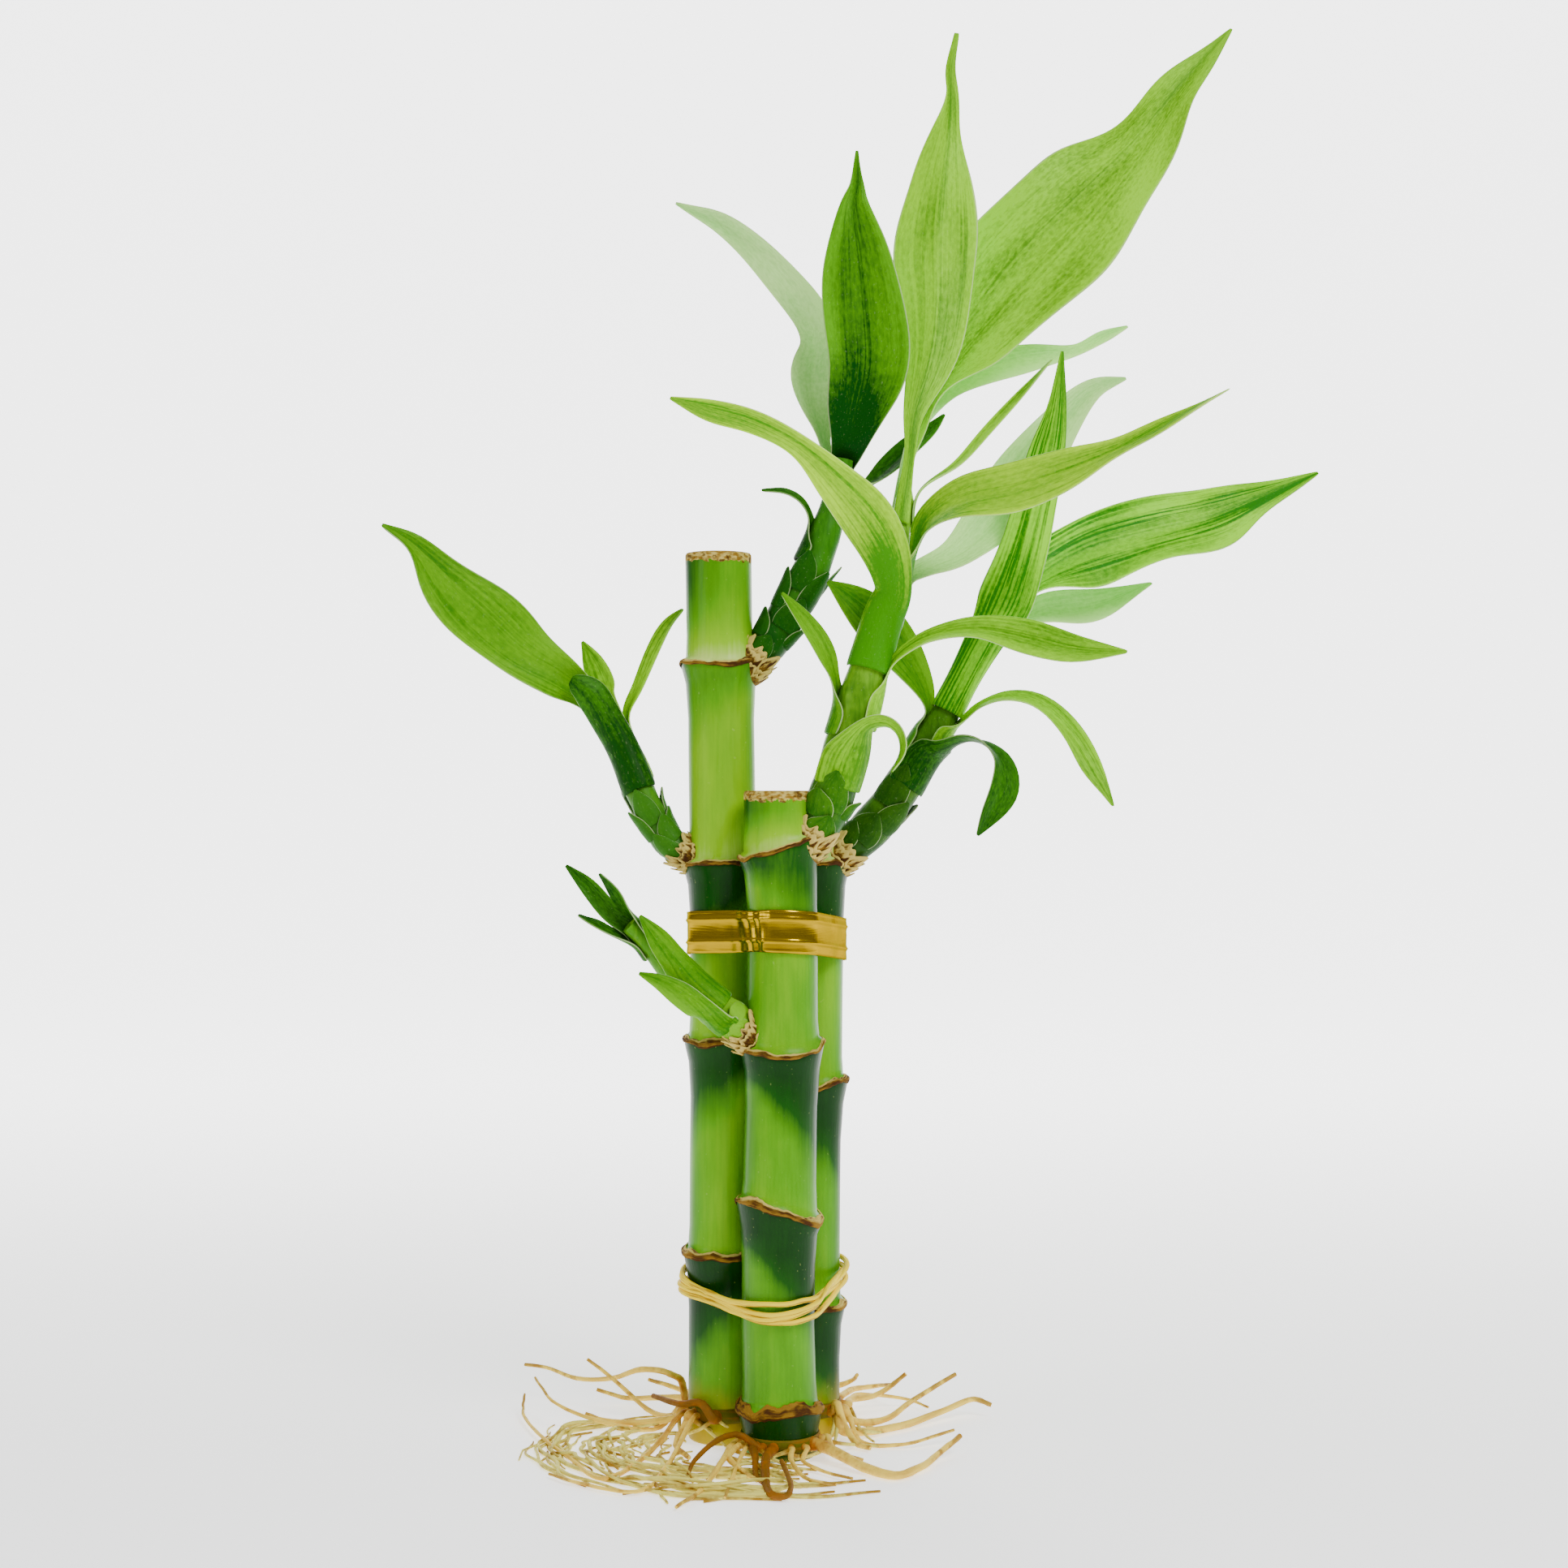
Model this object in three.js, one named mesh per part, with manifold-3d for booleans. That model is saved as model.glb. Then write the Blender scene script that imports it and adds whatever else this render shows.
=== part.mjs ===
// A tied bundle of three lucky bamboo canes with their leafy shoots, roots, foil band and raffia tie.
// Millimetres, +Z up, +X to the right and +Y away from someone who looks at the front of the bundle.
// The origin is the centre of the front cane's cut foot, which stands on the ground.
import * as THREE from "three";
import { mergeVertices } from "three/addons/utils/BufferGeometryUtils.js";
import Module from "manifold-3d";

const wasm = await Module();
wasm.setup();

// Driving dimensions
const TALL_CANE_HEIGHT = 203;
const FRONT_CANE_HEIGHT = 148.5;
const RIGHT_CANE_HEIGHT = 139;
const CLEARANCE = 0.3;
const BLADE_THICKNESS = 0.65;
const BAND_HEIGHT = 9.6;
const BAND_THICKNESS = 0.6;
const BAND_RIB = 0.4;
const TIE_STRAND_RADIUS = 0.65;
const ROOT_RADIUS = 0.95;
const ROOT_TIP_RADIUS = 0.4;

// Leaf and stem points are read off a front view, in its pixels, and a depth is chosen for each.
// The eye is level, and a pixel's size is known on the plane through the front cane's axis.
const VIEW_CENTRE_PIXEL = 966;
const MM_PER_PIXEL = 0.182;
const VIEW_DISTANCE = 530;
const EYE_HEIGHT = 150;
const EYE_ACROSS = 0.7;

function pixelSize(depth) {
  return MM_PER_PIXEL * (1 + depth / VIEW_DISTANCE);
}

function seen(px, py, depth) {
  const size = pixelSize(depth);
  const across = EYE_ACROSS + (px - VIEW_CENTRE_PIXEL) * size;
  const up = EYE_HEIGHT - (py - VIEW_CENTRE_PIXEL) * size;
  return new THREE.Vector3(across, depth, up);
}

// Colours
const COLOURS = {
  cane: 0x7db81f,
  collar: 0xb08a50,
  leaf: 0x6fae1c,
  scale: 0x3f7d1c,
  gold: 0xd9a419,
  raffia: 0xf0dc6a,
  root: 0xe0bc88,
};

function finish(colour, roughness, metalness = 0) {
  return new THREE.MeshStandardMaterial({ color: colour, roughness, metalness });
}

const bundle = new THREE.Group();

function addPiece(name, geometry, material) {
  const mesh = new THREE.Mesh(geometry, material);
  mesh.name = name;
  bundle.add(mesh);
}

// Solids

function toSolid(geometry) {
  const bare = geometry.clone();
  bare.deleteAttribute("normal");
  bare.deleteAttribute("uv");
  const merged = mergeVertices(bare, 1e-4);
  return new wasm.Manifold(
    new wasm.Mesh({
      numProp: 3,
      vertProperties: new Float32Array(merged.attributes.position.array),
      triVerts: new Uint32Array(merged.index.array),
    }),
  );
}

function toGeometry(solid) {
  const mesh = solid.getMesh();
  const geometry = new THREE.BufferGeometry();
  const positions = [];
  for (let i = 0; i < mesh.vertProperties.length; i += mesh.numProp) {
    positions.push(...mesh.vertProperties.slice(i, i + 3));
  }
  geometry.setAttribute("position", new THREE.Float32BufferAttribute(positions, 3));
  geometry.setIndex(Array.from(mesh.triVerts));
  geometry.computeVertexNormals();
  return geometry;
}

function joined(geometries) {
  return geometries.map(toSolid).reduce((whole, next) => whole.add(next));
}

// The part of a cut solid that still holds most of it: a scrap beyond a cut falls off.
function largest(solid) {
  const scraps = solid.decompose();
  return scraps.reduce((best, next) => (next.volume() > best.volume() ? next : best));
}

function meshFrom(points, faces) {
  const geometry = new THREE.BufferGeometry();
  const positions = points.flatMap((p) => [p.x, p.y, p.z]);
  geometry.setAttribute("position", new THREE.Float32BufferAttribute(positions, 3));
  geometry.setIndex(faces);
  geometry.computeVertexNormals();
  return geometry;
}

// Joins rings of points, each running counter-clockwise seen from the far end, into one closed skin.
function skin(rings, looped = false) {
  const count = rings[0].length;
  const spans = looped ? rings.length : rings.length - 1;
  const last = (rings.length - 1) * count;
  const faces = [];
  for (let i = 0; i < spans; i++) {
    const here = i * count;
    const next = ((i + 1) % rings.length) * count;
    for (let j = 0; j < count; j++) {
      const k = (j + 1) % count;
      faces.push(here + j, here + k, next + k);
      faces.push(here + j, next + k, next + j);
    }
  }
  if (!looped) {
    for (let j = 1; j < count - 1; j++) {
      faces.push(0, j + 1, j);
      faces.push(last, last + j, last + j + 1);
    }
  }
  return meshFrom(rings.flat(), faces);
}

// A round rod of changing radius along a path, with frames carried from one station to the next.
function rod(points, radii, sides) {
  const rings = [];
  let side = new THREE.Vector3(1, 0, 0);
  points.forEach((at, i) => {
    const before = points[Math.max(i - 1, 0)];
    const after = points[Math.min(i + 1, points.length - 1)];
    const along = after.clone().sub(before).normalize();
    if (i === 0 && Math.abs(along.x) > 0.8) side = new THREE.Vector3(0, 1, 0);
    side = side.clone().addScaledVector(along, -side.dot(along)).normalize();
    const other = along.clone().cross(side);
    const ring = [];
    for (let j = 0; j < sides; j++) {
      const angle = (2 * Math.PI * j) / sides;
      const out = side.clone().multiplyScalar(Math.cos(angle));
      out.addScaledVector(other, Math.sin(angle));
      ring.push(at.clone().addScaledVector(out, radii[i]));
    }
    rings.push(ring);
  });
  return skin(rings);
}

function between(values, fraction) {
  const place = fraction * (values.length - 1);
  const low = Math.min(Math.floor(place), values.length - 2);
  return THREE.MathUtils.lerp(values[low], values[low + 1], place - low);
}

// Canes

const CANE_SIDES = 15;
const FLARE = 1.1;

// Each cane: its foot on the ground, how its axis drifts across with height, its radius, and its nodes.
const CANES = {
  tall: {
    height: TALL_CANE_HEIGHT,
    foot: [-13.3, 13.0],
    drift: [0, 0.1, 0.3, 0.1, -0.4, -1.1],
    radii: [8.0, 7.9, 7.8, 7.7, 7.6, 7.6],
    nodes: [43, 91.5, 132, 178],
  },
  front: {
    height: FRONT_CANE_HEIGHT,
    foot: [0, 0],
    drift: [0, -0.7, -0.3, 0.3, 0.4, -0.8],
    radii: [8.2, 8.2, 8.2, 8.0, 7.9, 7.6],
    nodes: [11, 55.2, 90.7, 135.8],
  },
  right: {
    height: RIGHT_CANE_HEIGHT,
    foot: [6.6, 16.3],
    drift: [0, 0, 0.2, 0.6, 0.8, 1.0],
    radii: [7.0, 6.9, 6.9, 6.9, 7.0, 7.0],
    nodes: [30.3, 80.9, 131.5],
  },
};

// The swelling at a node: height from the node, and share of the flare.
const NODE_SHAPE = [
  [-13, 0],
  [-5, 0.4],
  [-1, 1.2],
  [0.3, 1.15],
  [1.2, 0.25],
  [6, 0],
];

function caneAt(cane, height) {
  const fraction = THREE.MathUtils.clamp(height / cane.height, 0, 1);
  let swell = 0;
  for (const node of cane.nodes) {
    const from = height - node;
    for (let i = 1; i < NODE_SHAPE.length; i++) {
      const [low, lowShare] = NODE_SHAPE[i - 1];
      const [high, highShare] = NODE_SHAPE[i];
      if (from >= low && from <= high) {
        const share = THREE.MathUtils.mapLinear(from, low, high, lowShare, highShare);
        swell = Math.max(swell, share * FLARE);
      }
    }
  }
  return {
    x: cane.foot[0] + between(cane.drift, fraction),
    y: cane.foot[1],
    radius: between(cane.radii, fraction) + swell,
  };
}

// The bevelled foot and the dished, callused top: height above or below the end, and inset.
const FOOT_SHAPE = [
  [0, 0.5],
  [0.6, 0],
];
const TOP_SHAPE = [
  [-1.2, 0],
  [0, 0.5],
  [-0.5, 1.7],
  [-1.3, 5],
];
const LEAST_RING_GAP = 0.9;

// Heights of the rings between foot and top, with the inset of each from the cane's side.
function caneStations(cane) {
  const foot = FOOT_SHAPE.map(([above, inset]) => [above, inset]);
  const top = TOP_SHAPE.map(([below, inset]) => [cane.height + below, inset]);
  const lowest = foot.at(-1)[0] + LEAST_RING_GAP;
  const highest = top[0][0] - LEAST_RING_GAP;
  const heights = cane.nodes.flatMap((node) => NODE_SHAPE.map(([from]) => node + from));
  const rings = heights.filter((height) => height > lowest && height < highest);
  rings.sort((a, b) => a - b);
  return [...foot, ...rings.map((height) => [height, 0]), ...top];
}

function caneBody(cane, grow = 0) {
  const middle = cane.height / 2;
  const rings = caneStations(cane).map(([height, inset]) => {
    const { x, y, radius } = caneAt(cane, height);
    const reach = radius - inset + grow;
    const isEnd = inset > 0;
    const z = height + (isEnd ? grow * Math.sign(height - middle) : 0);
    const ring = [];
    for (let j = 0; j < CANE_SIDES; j++) {
      const angle = (2 * Math.PI * j) / CANE_SIDES;
      ring.push(new THREE.Vector3(x + reach * Math.cos(angle), y + reach * Math.sin(angle), z));
    }
    return ring;
  });
  return skin(rings);
}

for (const [name, cane] of Object.entries(CANES)) {
  addPiece(`cane_${name}`, caneBody(cane), finish(COLOURS.cane, 0.35));
}

// Band and tie

const WRAP_STEPS = 26;
const TURN = 2 * Math.PI;

// A tight loop round all three canes: the outermost cane point in each direction, at a tilted height.
function wrapPoint(angle, heightAt, offset) {
  const u = [Math.cos(angle), Math.sin(angle)];
  let best = { reach: -Infinity };
  for (const cane of Object.values(CANES)) {
    const height = heightAt(cane.foot[0], cane.foot[1]);
    const { x, y, radius } = caneAt(cane, height);
    const reach = x * u[0] + y * u[1] + radius;
    if (reach > best.reach) best = { reach, x, y, radius };
  }
  const out = best.radius + offset;
  const x = best.x + u[0] * out;
  const y = best.y + u[1] * out;
  return new THREE.Vector3(x, y, heightAt(x, y));
}

// A loop's middle height at the origin, and how far it rises away from the viewer and to the right.
function tilted(height, riseAway, riseRight) {
  return (x, y) => height + riseAway * y + riseRight * x;
}

const bandHeight = tilted(116.5, -0.115, -0.035);
const tieHeight = tilted(34.6, 0.14, 0.03);

// The band's section: share of its half height, and how far it stands out.
const BAND_SECTION = [
  [-1, 0],
  [1, 0],
  [1, BAND_THICKNESS],
  [0.7, BAND_THICKNESS + BAND_RIB],
  [0.45, BAND_THICKNESS],
  [-0.25, BAND_THICKNESS],
  [-0.5, BAND_THICKNESS + BAND_RIB],
  [-0.8, BAND_THICKNESS],
  [-1, BAND_THICKNESS],
];

const BAND_CLEARANCE = 2 * CLEARANCE;

function goldBand() {
  const rings = [];
  for (let i = 0; i < WRAP_STEPS; i++) {
    const angle = (TURN * i) / WRAP_STEPS;
    const ring = BAND_SECTION.map(([share, out]) => {
      const point = wrapPoint(angle, bandHeight, BAND_CLEARANCE + out);
      point.z += (share * BAND_HEIGHT) / 2;
      return point;
    });
    rings.push(ring);
  }
  return skin(rings, true);
}

addPiece("gold_band", goldBand(), finish(COLOURS.gold, 0.2, 1));

// Each strand of the tie: its height above the loop's middle, how far it wanders, and where.
const TIE_STRANDS = [
  [1.2, 0.5, 0.4],
  [0.1, 0.7, 2.6],
  [-1.2, 0.5, 4.7],
];
const STRAND_SIDES = 4;
const STRAND_LOBES = 2;
const STRAND_SLACK = 0.15;
const TIE_CLEARANCE = 1.4 * CLEARANCE;

function tieStrand([lift, wander, phase]) {
  const rings = [];
  for (let i = 0; i < WRAP_STEPS; i++) {
    const angle = (TURN * i) / WRAP_STEPS;
    const swing = STRAND_LOBES * angle + phase;
    const bulge = STRAND_SLACK * (1 + Math.cos(swing));
    const away = TIE_CLEARANCE + TIE_STRAND_RADIUS + bulge;
    const ring = [];
    for (let j = 0; j < STRAND_SIDES; j++) {
      const around = -(TURN * j) / STRAND_SIDES;
      const out = away + TIE_STRAND_RADIUS * Math.cos(around);
      const point = wrapPoint(angle, tieHeight, out);
      point.z += lift + wander * Math.sin(swing) + TIE_STRAND_RADIUS * Math.sin(around);
      ring.push(point);
    }
    rings.push(ring);
  }
  return skin(rings, true);
}

addPiece("raffia_tie", toGeometry(joined(TIE_STRANDS.map(tieStrand))), finish(COLOURS.raffia, 0.6));

// Leaf blades

const TOWARD_VIEWER = new THREE.Vector3(0, -1, 0);

// The blade's own directions where its midrib runs along: across it, and out of its upper side.
// A turn of 0 shows the upper side to the viewer, and 180 the underside.
function bladeFrame(along, turn) {
  const across = along.clone().cross(TOWARD_VIEWER).normalize();
  const face = across.clone().cross(along);
  const angle = THREE.MathUtils.degToRad(turn);
  return {
    across: across.clone().multiplyScalar(Math.cos(angle)).addScaledVector(face, Math.sin(angle)),
    face: face.clone().multiplyScalar(Math.cos(angle)).addScaledVector(across, -Math.sin(angle)),
  };
}

// A thin closed blade through stations of midrib point, width, turn and curl.
// Its section is an arc: a curl of 0 is flat, and a wide curl clasps what it grows round.
function blade(stations, steps, cells, grow = 0) {
  const midrib = new THREE.CatmullRomCurve3(stations.map((s) => s.at));
  const forms = stations.map((s) => new THREE.Vector3(s.width, s.turn, s.curl));
  const form = new THREE.CatmullRomCurve3(forms);
  midrib.curveType = "catmullrom";
  form.curveType = "catmullrom";
  const half = BLADE_THICKNESS / 2 + grow;
  const upper = [];
  const under = [];
  for (let i = 0; i <= steps; i++) {
    const t = i / steps;
    const at = midrib.getPoint(t);
    const shape = form.getPoint(t);
    const along = midrib.getTangent(t);
    if (i === 0) at.addScaledVector(along, -grow);
    if (i === steps) at.addScaledVector(along, grow);
    const width = Math.max(shape.x, BLADE_THICKNESS) + 2 * grow;
    const curl = THREE.MathUtils.degToRad(Math.max(shape.z, 1));
    const { across, face } = bladeFrame(along, shape.y);
    const bend = width / curl;
    for (let j = 0; j <= cells; j++) {
      const angle = ((2 * j) / cells - 1) * (curl / 2);
      const point = at.clone().addScaledVector(across, bend * Math.sin(angle));
      point.addScaledVector(face, bend * (1 - Math.cos(angle)));
      const out = face.clone().multiplyScalar(Math.cos(angle)).addScaledVector(across, -Math.sin(angle));
      upper.push(point.clone().addScaledVector(out, half));
      under.push(point.clone().addScaledVector(out, -half));
    }
  }
  const row = cells + 1;
  const below = upper.length;
  const faces = [];
  const strip = (a, b, c, d) => faces.push(a, b, c, a, c, d);
  for (let i = 0; i < steps; i++) {
    const here = i * row;
    const next = here + row;
    for (let j = 0; j < cells; j++) {
      strip(here + j, here + j + 1, next + j + 1, next + j);
      faces.push(below + here + j, below + next + j + 1, below + here + j + 1);
      faces.push(below + here + j, below + next + j, below + next + j + 1);
    }
    strip(below + here, here, next, below + next);
    strip(here + cells, below + here + cells, below + next + cells, next + cells);
  }
  const tip = steps * row;
  for (let j = 0; j < cells; j++) {
    strip(below + j, below + j + 1, j + 1, j);
    strip(tip + j, tip + j + 1, below + tip + j + 1, below + tip + j);
  }
  return meshFrom([...upper, ...under], faces);
}

// Shoots

// Each stem: the cane it grows from, and points of pixel across, pixel down, depth and radius.
// Scales: place along the stem, side it grows on, length, width, and how far its tip stands off.
// Sides are degrees round the stem: 0 is its right, 90 toward the viewer, 180 left, 270 away.
const STEMS = {
  a: {
    cane: "tall",
    points: [
      [910, 824, 13, 4.2],
      [940, 800, 13, 4.5],
      [962, 770, 13.5, 4.5],
      [985, 730, 14, 4.4],
      [1005, 690, 15, 4.1],
      [1022, 640, 16, 3.4],
      [1034, 595, 17, 2.6],
      [1040, 566, 17, 2.1],
    ],
    scales: [
      [0.17, 150, 8, 6.5, 1.2],
      [0.26, 70, 8, 7.5, 1],
      [0.42, 110, 9, 7, 1.2],
      [0.44, 0, 8, 3.4, 2],
    ],
  },
  b: {
    cane: "front",
    points: [
      [980, 1046, 0, 4.4],
      [1010, 1015, -1, 5.0],
      [1026, 975, -1.5, 5.1],
      [1040, 930, -2, 5.0],
      [1052, 885, -2, 4.8],
      [1068, 830, -1.5, 4.3],
      [1086, 770, 0, 4.0],
      [1100, 715, 2, 3.4],
      [1108, 660, 5, 2.5],
      [1114, 615, 8, 1.9],
    ],
    scales: [
      [0.13, 120, 8, 8.5, 1.4],
      [0.15, 20, 6, 5, 2],
    ],
  },
  c: {
    cane: "right",
    points: [
      [1018, 1060, 16, 4.2],
      [1056, 1036, 15.5, 4.7],
      [1088, 1002, 15, 4.8],
      [1120, 955, 15, 4.3],
      [1148, 905, 15, 3.7],
      [1170, 870, 15, 3.3],
      [1190, 830, 15.5, 3.2],
      [1212, 782, 16, 2.8],
      [1225, 748, 17, 2.1],
    ],
    scales: [
      [0.13, 100, 8, 8.5, 1],
      [0.2, 60, 8, 7.5, 1.4],
      [0.24, 330, 6, 5, 1.8],
    ],
  },
  d: {
    cane: "tall",
    points: [
      [864, 1056, 13, 3.5],
      [828, 1040, 13, 3.7],
      [806, 1010, 13.5, 3.6],
      [789, 975, 14, 3.4],
      [774, 935, 15, 3.2],
      [757, 900, 16, 2.8],
      [740, 872, 17, 2.1],
    ],
    scales: [
      [0.15, 60, 8, 6, 1],
      [0.24, 150, 8, 5, 1.4],
      [0.38, 215, 7, 4.5, 1.6],
      [0.32, 345, 7, 4, 1.5],
    ],
  },
  e: {
    cane: "front",
    points: [
      [936, 1280, 0, 4.0],
      [905, 1258, -2, 4.3],
      [880, 1240, -4, 4.0],
      [852, 1215, -5, 3.6],
      [822, 1187, -6, 3.1],
      [797, 1160, -7, 2.5],
      [775, 1140, -8, 1.8],
    ],
    scales: [
      [0.17, 60, 5, 6.5, 0.8],
    ],
  },
};

const STEM_SIDES = 8;
const STEM_STEPS = 9;

function stemCurve(stem) {
  const axis = new THREE.CatmullRomCurve3(stem.points.map(([px, py, depth]) => seen(px, py, depth)));
  return { axis, radiusAt: (share) => between(stem.points.map((p) => p[3]), share) };
}

function stemRod(stem, grow = 0) {
  const { axis, radiusAt } = stemCurve(stem);
  const points = [];
  const radii = [];
  for (let i = 0; i <= STEM_STEPS; i++) {
    const share = i / STEM_STEPS;
    points.push(axis.getPoint(share));
    radii.push(radiusAt(share) + grow);
  }
  if (grow > 0) {
    const end = axis.getTangent(1);
    points[STEM_STEPS].addScaledVector(end, grow);
  }
  return rod(points, radii, STEM_SIDES);
}

// A station of a blade that clasps the stem on one side, at a given reach from the stem's axis.
function claspStation(stem, share, side, wrap, reachFrom) {
  const { axis, radiusAt } = stemCurve(stem);
  const along = axis.getTangent(share);
  const turn = side + 90;
  const { face } = bladeFrame(along, turn);
  const reach = reachFrom(radiusAt(share));
  const at = axis.getPoint(share).addScaledVector(face, -reach);
  return { at, width: THREE.MathUtils.degToRad(wrap) * reach, turn, curl: wrap };
}

const SCALE_SINK = 0.5;
const SCALE_WRAP = 110;
const SCALE_STEPS = 3;
const SCALE_CELLS = 2;

// A scale from root to tip: place, share of its width, and curl.
const SCALE_SHAPE = [
  [0, 0.8, SCALE_WRAP],
  [0.5, 0.9, 90],
  [1, 0.1, 30],
];

// A short scale sunk into the stem's skin at its root, with its tip standing off.
function stemScale(stem, [share, side, length, width, standOff], grow) {
  const reach = length / stemCurve(stem).axis.getLength();
  const away = [-SCALE_SINK, CLEARANCE, standOff];
  const stations = SCALE_SHAPE.map(([place, broad, curl], i) => {
    const station = claspStation(stem, share + place * reach, side, SCALE_WRAP, (radius) => radius + away[i]);
    return { ...station, width: broad * width, curl };
  });
  return blade(stations, SCALE_STEPS, SCALE_CELLS, grow);
}

function scalyStem(stem, grow) {
  const scales = stem.scales.map((scale) => stemScale(stem, scale, grow));
  return joined([stemRod(stem, grow), ...scales]);
}

const caneSkins = Object.fromEntries(
  Object.entries(CANES).map(([name, cane]) => [name, toSolid(caneBody(cane, CLEARANCE))]),
);

const stemClearance = {};
for (const [name, stem] of Object.entries(STEMS)) {
  const seated = largest(scalyStem(stem, 0).subtract(caneSkins[stem.cane]));
  stemClearance[name] = scalyStem(stem, CLEARANCE);
  addPiece(`stem_${name}`, toGeometry(seated), finish(COLOURS.scale, 0.5));
}

// Dry collars: the torn papery cup round the root of each shoot.

const COLLAR_STEPS = 8;
const COLLAR_THICKNESS = 0.65;
const COLLAR_FLAT = Math.cos(Math.PI / COLLAR_STEPS);
const TORN_LOBES = 3;
const TORN_SWELLS = 2;
const TORN_SHIFT = 50;

// Each collar: the stem it holds, how far up the stem it reaches, and how ragged its edge is.
const COLLARS = {
  a: [0.13, 0.03],
  b: [0.1, 0.02],
  c: [0.1, 0.02],
  d: [0.12, 0.03],
  e: [0.14, 0.03],
};

function dryCollar(stem, reach, ragged) {
  const { axis, radiusAt } = stemCurve(stem);
  const rings = [];
  for (let i = 0; i < COLLAR_STEPS; i++) {
    const angle = (TURN * i) / COLLAR_STEPS;
    const tear = Math.sin(TORN_LOBES * angle + TORN_SHIFT * reach) * Math.cos(TORN_SWELLS * angle);
    const top = reach + ragged * tear;
    const corners = [
      [0, 0],
      [top, 0],
      [top, COLLAR_THICKNESS],
      [0, COLLAR_THICKNESS],
    ];
    const ring = corners.map(([share, out]) => {
      const along = axis.getTangent(share);
      const { across, face } = bladeFrame(along, 0);
      const away = (radiusAt(share) + CLEARANCE) / COLLAR_FLAT + out;
      const point = axis.getPoint(share).addScaledVector(across, away * Math.cos(angle));
      return point.addScaledVector(face, away * Math.sin(angle));
    });
    rings.push(ring.reverse());
  }
  return skin(rings, true);
}

for (const [name, [reach, ragged]] of Object.entries(COLLARS)) {
  const cup = toSolid(dryCollar(STEMS[name], reach, ragged));
  const seated = largest(cup.subtract(caneSkins[STEMS[name].cane]));
  addPiece(`dry_collar_${name}`, toGeometry(seated), finish(COLOURS.collar, 0.9));
}

// Leaves

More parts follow.
